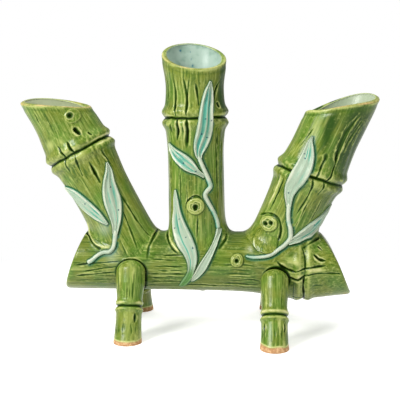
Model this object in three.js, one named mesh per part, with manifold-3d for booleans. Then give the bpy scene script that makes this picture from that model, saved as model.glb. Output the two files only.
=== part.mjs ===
import * as THREE from 'three';
import { mergeVertices } from 'three/addons/utils/BufferGeometryUtils.js';
import Module from 'manifold-3d';

// A glazed earthenware flower holder: a hollow bamboo log on four feet, with three open culms.
// Sizes are in millimetres and angles in degrees. X runs along the log and the front faces -Y.

// Clay and joints
const wall = 4;
const clearance = 0.3;
const lipRound = 1.3;

// Log
const logHalfDepth = 25;
const logHalfHeight = 23.8;
const logAxisHeight = 54.3;
const logLeftEnd = -97.9;
const logRightEnd = 110.9;
const logLeftSlant = 20.4;
const logRightSlant = 27.4;
const logRightBulge = 1.9;
const logEdgeRound = 2.5;
const logNodeAt = 84.5;
const logSwellWidth = 17;
const logSwellFront = 3.2;
const logSagLeft = 33;
const logSagRight = 20;
const logSagBelow = 6;
const logRing = { pitch: 4.6, bead: 1.3, beadWidth: 2.6, groove: 0.5, shoulder: 0, shoulderWidth: 10 };

// Culms: x is where the axis crosses the log's axis, lean is positive to the right,
// mouthRise is the slope of the mouth to the right and mouthFall its slope down to the front.
// Two facing sides of the rim stand mouthCrown above the other two, and mouthTurn is how far the
// nearer of them lies to the right of the front.
const lipLength = 16;
const flareLength = 4.5;
const flareFront = 0.8;
const ringGap = { pitch: 4.6, beadWidth: 3.6, groove: 0.5 };
const culms = {
  left: {
    x: -46.5, lean: -28.2, radius: 23.1, length: 141.9, lipRadius: 24.1,
    mouthRise: -3.9, mouthFall: 5.2, mouthCrown: 2.1, mouthTurn: 8, flareLeft: 2.6, flareRight: 2,
    ringAt: 99.6, ringTilt: 0,
    ring: { ...ringGap, bead: 2.2, shoulder: 3, shoulderWidth: 22 },
  },
  centre: {
    x: 0.8, lean: -1.1, radius: 22.1, length: 163.2, lipRadius: 25.5,
    mouthRise: -6.7, mouthFall: 25, mouthCrown: 0, mouthTurn: 0, flareLeft: 2.4, flareRight: 5.4,
    ringAt: 115.2, ringTilt: 0,
    ring: { ...ringGap, bead: 2.3, shoulder: 2, shoulderWidth: 17 },
  },
  right: {
    x: 57.9, lean: 24.1, radius: 24, length: 135.3, lipRadius: 24.3,
    mouthRise: 12, mouthFall: 6.2, mouthCrown: 4.9, mouthTurn: -15, flareLeft: 3, flareRight: 2.5,
    ringAt: 77.3, ringTilt: 3,
    ring: { ...ringGap, bead: 2.1, shoulder: 2.4, shoulderWidth: 18 },
  },
};

// Feet: front and rear give the middle of the soles along X, stance how far they stand from the
// log's axis
const footRadius = 9.4;
const footFlare = 1.5;
const footFlareLength = 12;
const footRing = { pitch: 2.7, bead: 0.9, beadWidth: 1.6, groove: 0.7, shoulder: 0.4, shoulderWidth: 8 };
const footPairs = {
  left: { front: -49.6, rear: -52.8, stance: 47.5, lean: 20.5, ringAt: 26.9, length: 63.6 },
  right: { front: 61.8, rear: 61.8, stance: 56.5, lean: 27, ringAt: 24.2, length: 62 },
};

// Relief: how far leaves, stems and knots stand off the bamboo
const leafHeight = 1.9;
const stemHeight = 1.9;
const knotHeight = 1.8;
const stemHalfWidth = 1.7;
const seatDepth = 2.6;

// How far off the bamboo the relief is set out from: in front of a culm's wall, in front of the
// log's axis, and the farthest that a line is followed inwards
const wrapReach = 12;
const frontReach = 80;
const farthest = 90;

// Leaves and stems are listed as [across, up, half width] from tip to base. Those laid on from
// the front use X and the height above the log's axis; those wrapped round a culm use the arc
// from its front line and the distance along its axis.
const leaves = {
  left_leaf_upper: {
    path: [
      [-69.6, 80.7, 0.4], [-68.1, 74.2, 2], [-67.6, 65.7, 4.1], [-66.4, 57.7, 5.8], [-64.5, 50.2, 6.5],
      [-62.8, 42.7, 5.6], [-61.8, 35.7, 4.1], [-61.8, 29.7, 2.7], [-62.4, 24.7, 2],
    ],
  },
  left_leaf_lower: {
    around: 'left',
    path: [
      [-27.5, 80.5, 0.4], [-23.4, 77.8, 2.8], [-19.6, 73.6, 5.2], [-16.8, 68, 6.9], [-14.2, 61.6, 7.1],
      [-11, 55, 6.6], [-7.9, 48.6, 5.3], [-5.4, 43, 3.2], [-3.6, 38.6, 1.6],
    ],
  },
  centre_leaf_top: {
    path: [
      [11.8, 144, 0.4], [10.5, 139.7, 2.3], [9.9, 135.7, 4], [9.3, 128.2, 5.2], [8.9, 120.2, 5.6],
      [8.2, 110.7, 5.7], [6.5, 102.2, 5.9], [4.6, 95.7, 5.4], [3.4, 91.2, 4.3], [3, 87.2, 2.8],
      [3.7, 84.1, 1.7],
    ],
  },
  centre_leaf_side: {
    path: [
      [-20.8, 95.5, 0.4], [-17.4, 90.5, 2.6], [-13.7, 86.3, 4.4], [-9.4, 82.7, 5.3],
      [-5.2, 79.3, 5.2], [-1.3, 76.3, 3.8], [2.4, 73.6, 2], [7.6, 69.9, 1.3],
    ],
  },
  centre_leaf_low: {
    path: [
      [-15.6, 59.7, 0.4], [-14.7, 51.2, 1.9], [-13.9, 42.7, 3], [-13, 34.2, 5.2], [-11, 26.2, 6.8],
      [-7.9, 19.2, 7], [-4.2, 12.7, 5.7], [-2.1, 5.7, 4.4], [-2.5, -1.3, 2.8], [-4.3, -7.3, 2.6],
      [-8.4, -12.9, 2.2], [-12.6, -17.1, 0.7],
    ],
  },
  centre_leaf_base: {
    path: [
      [2.6, -7.9, 0.5], [5.2, -2.9, 3], [8.4, 4.9, 3.9], [11, 11.3, 3.7], [13.8, 17.1, 3.4],
      [16.1, 23.3, 2.8], [17.5, 28.1, 1.9],
    ],
  },
  right_leaf_upper: {
    path: [
      [90.2, 102.1, 0.4], [88.2, 97.6, 2.4], [86.8, 92.1, 4.6], [85, 85.4, 6.3], [82.3, 78.1, 7.2],
      [78.5, 70.9, 7], [74.9, 64.1, 5.6], [72.9, 57.9, 3.9], [72.4, 51.7, 2.5], [72.3, 47.5, 1.8],
    ],
  },
  right_leaf_lower: {
    around: 'right',
    path: [
      [31, 64, 0.4], [29, 57.8, 2.6], [26.6, 51.8, 5], [23.2, 45.6, 7], [18.6, 39.6, 7.3],
      [13.8, 34, 5.4], [10.4, 28.4, 2.9], [7.4, 22.6, 1.3],
    ],
  },
};
const stems = {
  left_stem: {
    path: [
      [-62.4, 24.3, 1.9], [-62.9, 19.2, 1.8], [-63.9, 14.3, 1.7], [-67, 10.9, 1.7], [-71.8, 10.2, 1.6],
      [-76.4, 7.9, 1.6], [-80.8, 4.2, 1.7], [-84.6, 2.1, 2],
    ],
  },
  centre_stem: {
    path: [
      [3.7, 83.7, 1.7], [5.2, 79.7, 1.7], [7.9, 73.3, 1.8], [10.6, 66.5, 1.9], [11.5, 62.3, 1.9],
      [8.9, 58.7, 1.8], [7.7, 55.9, 1.8], [9.2, 51.7, 1.7], [12.2, 45.9, 1.7], [14.6, 40.7, 1.7],
      [16.4, 35.3, 1.8], [17.5, 28.5, 1.9],
    ],
  },
  right_stem: {
    path: [
      [72.3, 47.1, 1.8], [71.9, 42.3, 1.7], [72.3, 36.1, 1.7], [73.8, 29.7, 1.8], [73.4, 23.3, 1.8],
      [69.6, 18.3, 1.7], [64.4, 14.3, 1.6], [59, 10.5, 1.5], [51.8, 8.7, 1.4], [44.6, 8.1, 1.2],
      [39.4, 8.9, 0.7],
    ],
  },
};
const knots = {
  knot_left: { at: [-95, 116.5], radius: 6.6, squash: 1.15, turn: 35 },
  knot_centre: { at: [0.4, 47.3], radius: 6.8, squash: 1, turn: 0 },
  knot_right: { at: [57.6, 33.7], radius: 6.6, squash: 1.1, turn: 20 },
  knot_log: { at: [32.9, 5.3], radius: 5.2, squash: 1, turn: 0 },
};
const stubPath = [[57.2, 26.1, 7.5], [55.2, 21.7, 9], [53.2, 16.7, 9.4], [52, 13.1, 6.4]];

// Fineness of the surfaces
const culmSides = 26;
const logSides = 30;
const footSides = 12;
const knotSides = 12;

// Colours of the fired glazes
const greenGlaze = 0x6f9034;
const paleGlaze = 0xbfdcc8;

const wasm = await Module();
wasm.setup();

const rad = THREE.MathUtils.degToRad;
const bump = (distance, width) => Math.exp(-((distance / width) ** 2));

// A node of the bamboo: two beads with a groove between them on a wider shoulder
function nodeRing(distance, ring) {
  const beads = bump(distance - ring.pitch, ring.beadWidth) + bump(distance + ring.pitch, ring.beadWidth);
  const shoulder = ring.shoulder * bump(distance, ring.shoulderWidth);
  return shoulder + ring.bead * beads - ring.groove * bump(distance, ring.beadWidth / 2);
}

// Log surface as a scale of its ellipse at x, where angle 0 is the front and 90 the top
function logScale(x, angle) {
  const below = Math.max(0, -Math.sin(angle));
  const front = logSwellFront * Math.cos(angle) ** 2 * bump(x - logNodeAt, logSwellWidth);
  const sagWidth = x < logNodeAt ? logSagLeft : logSagRight;
  const sag = logSagBelow * below ** 2 * bump(x - logNodeAt, sagWidth);
  return 1 + (front + sag + nodeRing(x - logNodeAt, logRing)) / logHalfDepth;
}

// The end faces slant, and the right one bulges too; both fade out before the node
function logShift(x, rise) {
  const slope = x < 0 ? Math.tan(rad(logLeftSlant)) : -Math.tan(rad(logRightSlant));
  const end = x < 0 ? logLeftEnd : logRightEnd;
  const fade = end - Math.sign(end) * logHalfHeight * 0.7;
  const height = THREE.MathUtils.clamp(rise / logHalfHeight, -1, 1);
  const bulge = x < 0 ? 0 : logRightBulge * (1 - height ** 2) * (1 + height);
  return (slope * rise + bulge) * THREE.MathUtils.clamp((x - fade) / (end - fade), 0, 1);
}

function logPoint(x, angle, grow, inset) {
  const scale = logScale(x, angle) + (grow - inset) / logHalfDepth;
  const y = -logHalfDepth * scale * Math.cos(angle);
  const rise = logHalfHeight * scale * Math.sin(angle);
  return new THREE.Vector3(x + logShift(x, rise), y, logAxisHeight + rise);
}

// Axis, sideways and front directions of a culm
for (const culm of Object.values(culms)) {
  culm.origin = new THREE.Vector3(culm.x, 0, logAxisHeight);
  culm.axis = new THREE.Vector3(Math.sin(rad(culm.lean)), 0, Math.cos(rad(culm.lean)));
  culm.side = new THREE.Vector3(culm.axis.z, 0, -culm.axis.x);
  culm.mouth = new THREE.Vector3(-Math.tan(rad(culm.mouthRise)), -Math.tan(rad(culm.mouthFall)), 1);
}

const around = (culm, angle) => culm.side.clone().multiplyScalar(Math.sin(angle))
  .add(new THREE.Vector3(0, -Math.cos(angle), 0));

function culmPoint(culm, along, angle, radius) {
  return culm.origin.clone()
    .addScaledVector(culm.axis, along)
    .addScaledVector(around(culm, angle), radius);
}

// Distance along the axis at which the slanted mouth cuts a line on the wall
function mouthAt(culm, angle, radius) {
  const slant = radius * culm.mouth.dot(around(culm, angle)) / culm.mouth.dot(culm.axis);
  return culm.length - slant + culm.mouthCrown * Math.cos(angle - rad(culm.mouthTurn)) ** 2;
}

// Distance along the axis at which a line on the wall comes out of the log
function joinAt(culm, angle, radius) {
  const reach = Math.min(1, radius * Math.abs(Math.cos(angle)) / logHalfDepth);
  const rise = logHalfHeight * Math.sqrt(1 - reach ** 2);
  return (rise + radius * Math.sin(angle) * culm.axis.x) / culm.axis.z;
}

const ringAt = (culm, angle) => culm.ringAt + culm.ringTilt * Math.sin(angle);

// Radius of a culm without its node and foot, which the bore follows too
function shaftRadius(culm, along, angle) {
  const belowMouth = Math.max(0, mouthAt(culm, angle, culm.radius) - along);
  return culm.radius + (culm.lipRadius - culm.radius) * bump(belowMouth, lipLength);
}

// The same node with its groove filled, as clay laid over it lies
function coveredRing(distance, ring) {
  const shoulder = ring.shoulder * bump(distance, ring.shoulderWidth);
  return shoulder + 1.15 * ring.bead * Math.exp(-((distance / (ring.pitch + 1.2 * ring.beadWidth)) ** 4));
}

function culmRadius(culm, along, angle, ringShape = nodeRing) {
  const sideways = Math.sin(angle);
  const flareSide = sideways < 0 ? culm.flareLeft : culm.flareRight;
  const flare = flareFront + (flareSide - flareFront) * sideways ** 2;
  const aboveLog = Math.max(0, along - joinAt(culm, angle, culm.radius));
  const ring = ringShape(along - ringAt(culm, angle), culm.ring);
  return shaftRadius(culm, along, angle) + ring + flare * Math.exp(-aboveLog / flareLength);
}

// Stations up the outside of a culm at one angle, close together at the foot and the node
function culmStations(culm, angle, grow) {
  const join = joinAt(culm, angle, culm.radius);
  const node = ringAt(culm, angle);
  const top = mouthAt(culm, angle, culm.radius) + grow - lipRound;
  const { pitch } = culm.ring;
  const ring = [-2.4, -1.55, -1, -0.5, 0, 0.5, 1, 1.55, 2.4].map((n) => node + n * pitch);
  const low = join + 10;
  const stations = [join - 6, join - 1, join + 1.5, join + 5, low];
  for (const share of [0.3, 0.65]) stations.push(THREE.MathUtils.lerp(low, ring[0], share));
  stations.push(...ring);
  for (const share of [0.3, 0.6, 0.85, 1]) {
    stations.push(THREE.MathUtils.lerp(ring[ring.length - 1], top, share));
  }
  return stations;
}

const turn = (index, sides) => 2 * Math.PI * index / sides;

// Joins rings of points into a closed body, either end capped or the last ring joined to the first
function loft(rings, closed) {
  const sides = rings[0].length;
  const points = rings.flat();
  const faces = [];
  const last = closed ? rings.length : rings.length - 1;
  for (let i = 0; i < last; i += 1) {
    const next = (i + 1) % rings.length;
    for (let j = 0; j < sides; j += 1) {
      const k = (j + 1) % sides;
      const corners = [i * sides + j, i * sides + k, next * sides + j, next * sides + k];
      faces.push(corners[0], corners[1], corners[3], corners[0], corners[3], corners[2]);
    }
  }
  if (!closed) {
    for (const [ring, start, flip] of [[rings[0], 0, true], [rings.at(-1), (rings.length - 1) * sides, false]]) {
      const middle = ring.reduce((sum, p) => sum.add(p), new THREE.Vector3()).divideScalar(sides);
      points.push(middle);
      for (let j = 0; j < sides; j += 1) {
        const edge = [start + j, start + (j + 1) % sides];
        if (flip) edge.reverse();
        faces.push(edge[0], edge[1], points.length - 1);
      }
    }
  }
  const geometry = new THREE.BufferGeometry().setFromPoints(points);
  geometry.setIndex(faces);
  return geometry;
}

// Closed geometry to a solid, turned the right way out
function toSolid(geometry) {
  geometry.deleteAttribute('normal');
  geometry.deleteAttribute('uv');
  const merged = mergeVertices(geometry, 1e-4);
  const vertProperties = new Float32Array(merged.attributes.position.array);
  const triVerts = new Uint32Array(merged.index.array);
  const p = (i) => new THREE.Vector3().fromArray(vertProperties, 3 * i);
  let volume = 0;
  for (let t = 0; t < triVerts.length; t += 3) {
    volume += p(triVerts[t]).dot(p(triVerts[t + 1]).cross(p(triVerts[t + 2])));
  }
  if (volume < 0) triVerts.reverse();
  return new wasm.Manifold(new wasm.Mesh({ numProp: 3, vertProperties, triVerts }));
}

// Filled outside of the log, grown for a seat
function logOutside(grow) {
  const left = logLeftEnd - grow;
  const right = logRightEnd + grow;
  const { pitch } = logRing;
  const node = [-4.5, -2.6, -1.6, -1, -0.5, 0, 0.5, 1, 1.7, 2.8].map((n) => [logNodeAt + n * pitch, 0]);
  const stations = [
    [left, logEdgeRound], [left + 0.3 * logEdgeRound, 0.3 * logEdgeRound], [left + logEdgeRound, 0],
    [left + 12, 0], [-50, 0], [0, 0], [45, 0], ...node,
    [right - logEdgeRound, 0], [right - 0.3 * logEdgeRound, 0.3 * logEdgeRound], [right, logEdgeRound],
    [right, 0.6 * logHalfDepth],
  ];
  const rings = stations.map(([x, inset]) => Array.from(
    { length: logSides },
    (_, j) => logPoint(x, turn(j, logSides), grow, inset),
  ));
  return toSolid(loft(rings, false));
}

// Cavity of the log, one wall inside its plain form
function logInside() {
  const rings = [logLeftEnd + wall, -50, 0, 50, logRightEnd - wall].map((x) => Array.from(
    { length: logSides },
    (_, j) => {
      const angle = turn(j, logSides);
      const rise = (logHalfHeight - wall) * Math.sin(angle);
      const y = -(logHalfDepth - wall) * Math.cos(angle);
      return new THREE.Vector3(x + logShift(x, rise), y, logAxisHeight + rise);
    },
  ));
  return toSolid(loft(rings, false));
}

// Outer rings of a culm, from inside the log up to the start of the lip
function culmRings(culm, grow) {
  const columns = Array.from({ length: culmSides }, (_, j) => {
    const angle = turn(j, culmSides);
    return culmStations(culm, angle, grow)
      .map((along) => culmPoint(culm, along, angle, culmRadius(culm, along, angle) + grow));
  });
  return columns[0].map((_, i) => columns.map((column) => column[i]));
}

// A ring of a culm that lies parallel to its mouth
function mouthRing(culm, depth, radiusOf) {
  return Array.from({ length: culmSides }, (_, j) => {
    const angle = turn(j, culmSides);
    const radius = radiusOf(angle);
    return culmPoint(culm, mouthAt(culm, angle, culm.radius) - depth, angle, radius);
  });
}

// Filled outside of a culm, grown for a seat
function culmOutside(culm, grow) {
  return toSolid(loft([...culmRings(culm, grow), mouthRing(culm, -grow, () => culm.lipRadius + grow)], false));
}

// Rings down the bore, from the lip to the log's axis
function boreRings(culm, from) {
  const depths = [from, 0.12, 0.3, 0.6];
  const rings = depths.map((share, i) => Array.from({ length: culmSides }, (_, j) => {
    const angle = turn(j, culmSides);
    const top = mouthAt(culm, angle, culm.radius);
    const along = i === 0 ? top - from : top * (1 - share);
    return culmPoint(culm, along, angle, shaftRadius(culm, along, angle) - wall);
  }));
  rings.push(Array.from({ length: culmSides }, (_, j) => {
    const angle = turn(j, culmSides);
    return culmPoint(culm, 0, angle, culm.radius - wall);
  }));
  return rings;
}

// One wall of clay: up the outside, over the rounded lip and down the bore
function culmShell(culm) {
  const soft = lipRound * (1 - Math.SQRT1_2);
  const lip = [
    mouthRing(culm, soft, () => culm.lipRadius - soft),
    mouthRing(culm, 0, () => culm.lipRadius - lipRound),
    mouthRing(culm, 0, () => culm.lipRadius - wall + lipRound),
    mouthRing(culm, soft, () => culm.lipRadius - wall + soft),
  ];
  return toSolid(loft([...culmRings(culm, 0), ...lip, ...boreRings(culm, lipRound)], true));
}

// A foot revolved from its outline, leaning in to the log and cut flat at the sole
function footSolid(pair, row) {
  const { stance, lean, ringAt: node, length } = pair;
  const x = pair[row];
  const front = row === 'front';
  const spread = footRadius * Math.tan(rad(lean)) + footFlareLength;
  const domeAt = length - footRadius;
  const radiusAt = (along) => footRadius + nodeRing(along - node, footRing)
    + footFlare * Math.exp(-Math.max(0, along) / footFlareLength);
  const { pitch } = footRing;
  const ring = [-2.6, -1.7, -1, -0.5, 0, 0.5, 1, 1.7, 2.6].map((n) => node + n * pitch);
  const stations = [-spread, 0, 3, 8, ...ring, domeAt - 6, domeAt];
  const outline = [new THREE.Vector2(0, -spread), ...stations.map((s) => new THREE.Vector2(radiusAt(s), s))];
  for (const angle of [22, 42, 60, 76]) {
    const [across, up] = [Math.cos(rad(angle)), Math.sin(rad(angle))];
    outline.push(new THREE.Vector2(radiusAt(domeAt) * across, domeAt + footRadius * up));
  }
  outline.push(new THREE.Vector2(0, length));
  const geometry = new THREE.LatheGeometry(outline, footSides);
  geometry.rotateX(Math.PI / 2);
  geometry.rotateX(front ? -rad(lean) : rad(lean));
  geometry.translate(x, front ? -stance : stance, 0);
  const ground = new THREE.BoxGeometry(length, 2 * length, length);
  ground.translate(x, front ? -stance : stance, -length / 2);
  return toSolid(geometry).subtract(toSolid(ground));
}

// How far a point is outside the log or a culm
function logDistance(p) {
  const rise = (p.z - logAxisHeight) / logHalfHeight;
  const angle = Math.atan2(rise, -p.y / logHalfDepth);
  return (Math.hypot(rise, p.y / logHalfDepth) - logScale(p.x, angle)) * logHalfHeight;
}

function culmDistance(culm, p) {
  const from = p.clone().sub(culm.origin);
  const along = from.dot(culm.axis);
  if (along < 0 || along > culm.length * 1.1) return logHalfDepth;
  const sideways = from.dot(culm.side);
  const angle = Math.atan2(sideways, -from.y);
  return Math.hypot(sideways, from.y) - culmRadius(culm, along, angle, coveredRing);
}

// Distance to log and culms together, softly joined in the creases between them
function bambooDistance(p) {
  const blend = 4;
  let nearest = logDistance(p);
  for (const culm of Object.values(culms)) {
    const other = culmDistance(culm, p);
    const overlap = Math.max(blend - Math.abs(nearest - other), 0);
    nearest = Math.min(nearest, other) - overlap ** 2 / (4 * blend);
  }
  return nearest;
}

// The point where a line of sight meets the bamboo, raised along the surface's normal
function onBamboo(start, direction, height) {
  const at = (t) => start.clone().addScaledVector(direction, t);
  let near = 0;
  while (near < farthest && bambooDistance(at(near)) > 0) near += 1;
  let low = near - 1;
  for (let i = 0; i < 14; i += 1) {
    const middle = (low + near) / 2;
    if (bambooDistance(at(middle)) > 0) low = middle;
    else near = middle;
  }
  const point = at(near);
  const step = 0.8;
  const normal = new THREE.Vector3(...['x', 'y', 'z'].map((axis) => {
    const ahead = point.clone();
    const behind = point.clone();
    ahead[axis] += step;
    behind[axis] -= step;
    return bambooDistance(ahead) - bambooDistance(behind);
  })).normalize();
  return point.addScaledVector(normal, height);
}

// Ways of laying a flat outline on: pressed on from the front, or wrapped round a culm
const fromFront = (across, up, height) => onBamboo(
  new THREE.Vector3(across, -frontReach, logAxisHeight + up),
  new THREE.Vector3(0, 1, 0),
  height,
);
const wrapped = (culm) => (across, up, height) => {
  const outward = around(culm, across / culm.radius);
  const start = culm.origin.clone().addScaledVector(culm.axis, up)
    .addScaledVector(outward, culm.radius + wrapReach);
  return onBamboo(start, outward.negate(), height);
};

// Sections of the relief as [share of the half width, share of the height]
const leafSection = [[-0.95, 0.62], [-0.76, 1], [-0.36, 0.55], [0, 0.85], [0.36, 0.55], [0.76, 1], [0.95, 0.62]];
const stemSection = [[-0.88, 0.42], [-0.48, 0.85], [0, 1], [0.48, 0.85], [0.88, 0.42]];
const stubSection = [[-0.94, 0.4], [-0.7, 1], [0, 1.05], [0.7, 1], [0.94, 0.4]];

// A raised strip along a path, laid on the bamboo. Growing it makes room round a neighbour.
function strip({ path, around: culmName }, section, height, steps, grow = 0) {
  const place = culmName ? wrapped(culms[culmName]) : fromFront;
  const line = new THREE.CatmullRomCurve3(path.map((point) => new THREE.Vector3(...point)));
  const ends = grow ? [-grow, grow] : [0, 0];
  const rings = [];
  for (let i = 0; i <= steps; i += 1) {
    const share = i / steps;
    const middle = line.getPoint(share);
    const ahead = line.getTangent(share).setZ(0).normalize();
    if (i === 0) middle.addScaledVector(ahead, ends[0]);
    if (i === steps) middle.addScaledVector(ahead, ends[1]);
    const half = middle.z + grow;
    const tall = height * Math.min(1, 0.35 + middle.z / (2 * stemHalfWidth)) + grow;
    const profile = [[-1, -seatDepth / tall], ...section, [1, -seatDepth / tall]];
    rings.push(profile.map(([across, up]) => place(
      middle.x + ahead.y * half * across,
      middle.y - ahead.x * half * across,
      tall * up,
    )));
  }
  return toSolid(loft(rings, false));
}

// A branch scar: a low round boss with a pit in it
function knot({ at, radius, squash, turn: tilt }) {
  const outline = [
    [1, -seatDepth], [1, 0.35 * knotHeight], [0.82, 0.95 * knotHeight], [0.58, knotHeight],
    [0.36, 0.6 * knotHeight], [0.24, 0.3 * knotHeight],
  ];
  const rings = outline.map(([share, height]) => Array.from({ length: knotSides }, (_, j) => {
    const angle = turn(j, knotSides);
    const across = radius * share * Math.cos(angle);
    const up = radius * share * Math.sin(angle) / squash;
    const [c, s] = [Math.cos(rad(tilt)), Math.sin(rad(tilt))];
    return fromFront(at[0] + across * c - up * s, at[1] + across * s + up * c, height);
  }));
  return toSolid(loft(rings, false));
}

const part = new THREE.Group();

function addPiece(name, solid, color) {
  const { vertProperties, triVerts } = solid.getMesh();
  const geometry = new THREE.BufferGeometry();
  geometry.setAttribute('position', new THREE.BufferAttribute(new Float32Array(vertProperties), 3));
  geometry.setIndex(new THREE.BufferAttribute(new Uint32Array(triVerts), 1));
  geometry.computeVertexNormals();
  const material = new THREE.MeshStandardMaterial({ color, roughness: 0.25, metalness: 0 });
  const mesh = new THREE.Mesh(geometry, material);
  mesh.name = name;
  part.add(mesh);
}

// The log takes the water from all three culms
let log = logOutside(0).subtract(logInside());
for (const culm of Object.values(culms)) {
  log = log.subtract(toSolid(loft(boreRings(culm, lipRound), false)));
}
addPiece('log_body', log, greenGlaze);

const logSeat = logOutside(clearance);
const seats = {};
for (const [side, culm] of Object.entries(culms)) {
  addPiece(`culm_${side}`, culmShell(culm).subtract(logSeat), greenGlaze);
  seats[side] = culmOutside(culm, clearance);
}

for (const [side, pair] of Object.entries(footPairs)) {
  for (const row of ['front', 'rear']) {
    addPiece(`foot_${row}_${side}`, footSolid(pair, row).subtract(logSeat), greenGlaze);
  }
}

// Sprigs: each piece is seated on the bamboo and on the pieces laid on before it
const bamboo = Object.values(seats).reduce((sum, seat) => sum.add(seat), logSeat);
const laid = [];

function addRelief(name, solid, grown, color) {
  let piece = solid.subtract(bamboo);
  for (const earlier of laid) piece = piece.subtract(earlier);
  laid.push(grown);
  addPiece(name, piece, color);
}

for (const [name, stem] of Object.entries(stems)) {
  const steps = Math.round(1.6 * (stem.path.length - 1));
  const solid = strip(stem, stemSection, stemHeight, steps);
  addRelief(name, solid, strip(stem, stemSection, stemHeight, steps, clearance), paleGlaze);
}
for (const [name, leaf] of Object.entries(leaves)) {
  const steps = Math.round(1.6 * (leaf.path.length - 1));
  const solid = strip(leaf, leafSection, leafHeight, steps);
  addRelief(name, solid, strip(leaf, leafSection, leafHeight, steps, clearance), paleGlaze);
}

for (const [name, scar] of Object.entries(knots)) {
  const grown = knot({ ...scar, radius: scar.radius + clearance });
  addRelief(name, knot(scar), grown, greenGlaze);
}
const stub = { path: stubPath };
addRelief(
  'branch_stub',
  strip(stub, stubSection, knotHeight, 6),
  strip(stub, stubSection, knotHeight, 6, clearance),
  greenGlaze,
);

// The origin is the middle of the underside of the box round the whole part
const box = new THREE.Box3().setFromObject(part);
const middle = box.getCenter(new THREE.Vector3());
part.position.set(-middle.x, -middle.y, -box.min.z);

export default part;
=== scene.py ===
import math

import bpy
import numpy as np
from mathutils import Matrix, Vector
from mathutils.kdtree import KDTree


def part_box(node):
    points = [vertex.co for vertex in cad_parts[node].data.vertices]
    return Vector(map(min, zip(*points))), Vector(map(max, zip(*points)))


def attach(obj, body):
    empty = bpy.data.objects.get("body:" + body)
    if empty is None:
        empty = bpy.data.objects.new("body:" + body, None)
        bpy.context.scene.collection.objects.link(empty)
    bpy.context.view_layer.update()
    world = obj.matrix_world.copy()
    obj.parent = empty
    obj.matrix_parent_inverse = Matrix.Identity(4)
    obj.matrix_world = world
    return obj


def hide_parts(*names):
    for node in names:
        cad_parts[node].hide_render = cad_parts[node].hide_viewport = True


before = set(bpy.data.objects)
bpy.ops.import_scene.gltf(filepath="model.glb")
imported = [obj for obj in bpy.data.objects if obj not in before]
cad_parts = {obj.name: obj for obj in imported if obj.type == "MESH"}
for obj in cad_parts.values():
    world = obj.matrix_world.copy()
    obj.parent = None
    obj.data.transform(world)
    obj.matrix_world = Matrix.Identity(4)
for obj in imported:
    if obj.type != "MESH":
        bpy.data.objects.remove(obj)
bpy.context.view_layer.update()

# Sizes are in millimetres and degrees, from the point that the clay is set out from: X runs along
# the log, the front faces -Y and Z is up.
mm = 0.001

# The part's zero is the middle of its box, and the front left foot tells how far that is from the
# zero used here.
footPairs = {
    "left": {"front": -49.6, "rear": -52.8, "stance": 47.5, "lean": 20.5, "ringAt": 26.9, "length": 63.6,
             "seated": 1.75, "worn": 0.5},
    "right": {"front": 61.8, "rear": 61.8, "stance": 56.5, "lean": 27, "ringAt": 24.2, "length": 62,
              "seated": 1.1, "worn": 1.4},
}
footLow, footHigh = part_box("foot_front_left")
zeroShift = np.array([(footLow[0] + footHigh[0]) / 2 / mm - footPairs["left"]["front"], 0, 0])


def addObject(name, data):
    thing = bpy.data.objects.new(name, data)
    bpy.context.scene.collection.objects.link(thing)
    return thing


# Camera
shot = {"azimuth": 4, "elevation": 7.6, "distance": 650, "aim": (2.4, 0, 103.5), "lens": 73.125}


def placeCamera():
    turn, rise = math.radians(shot["azimuth"]), math.radians(shot["elevation"])
    back = Vector((math.sin(turn) * math.cos(rise), -math.cos(turn) * math.cos(rise), math.sin(rise)))
    camera = addObject("camera", bpy.data.cameras.new("camera"))
    camera.data.lens = shot["lens"]
    camera.data.clip_start = 0.01
    camera.location = (Vector(shot["aim"]) + Vector(zeroShift) + shot["distance"] * back) * mm
    camera.rotation_euler = (-back).to_track_quat("-Z", "Y").to_euler()
    bpy.context.scene.camera = camera


placeCamera()
print("camera placed")

# Shapes of the bamboo, which every piece is set out on
wall = 4
lipRound = 1.3
# How wide the slip fills the crease at a culm's foot, at its sides and at its front
joint = {"side": 1.6, "front": 8, "span": 18}
# A line of sight walks on to the bamboo in rounds, by a share of the gap that is left
laying = {"rounds": 60, "stride": 0.7, "farthest": 95, "fromFront": 80, "fromAxis": 36}

logForm = {
    "halfDepth": 25, "halfHeight": 23.8, "axisHeight": 54.3,
    "leftEnd": -97.9, "rightEnd": 110.9, "leftSlant": 20.4, "rightSlant": 27.4, "rightBulge": 1.9,
    "edgeRound": 2.5, "nodeAt": 84.5, "swellWidth": 17, "swellFront": 3.2,
    "sagLeft": 33, "sagRight": 20, "sagBelow": 6,
    "ring": {"pitch": 4.6, "bead": 1.3, "beadWidth": 2.6, "groove": 0.5, "shoulder": 0, "shoulderWidth": 10},
}

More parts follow.
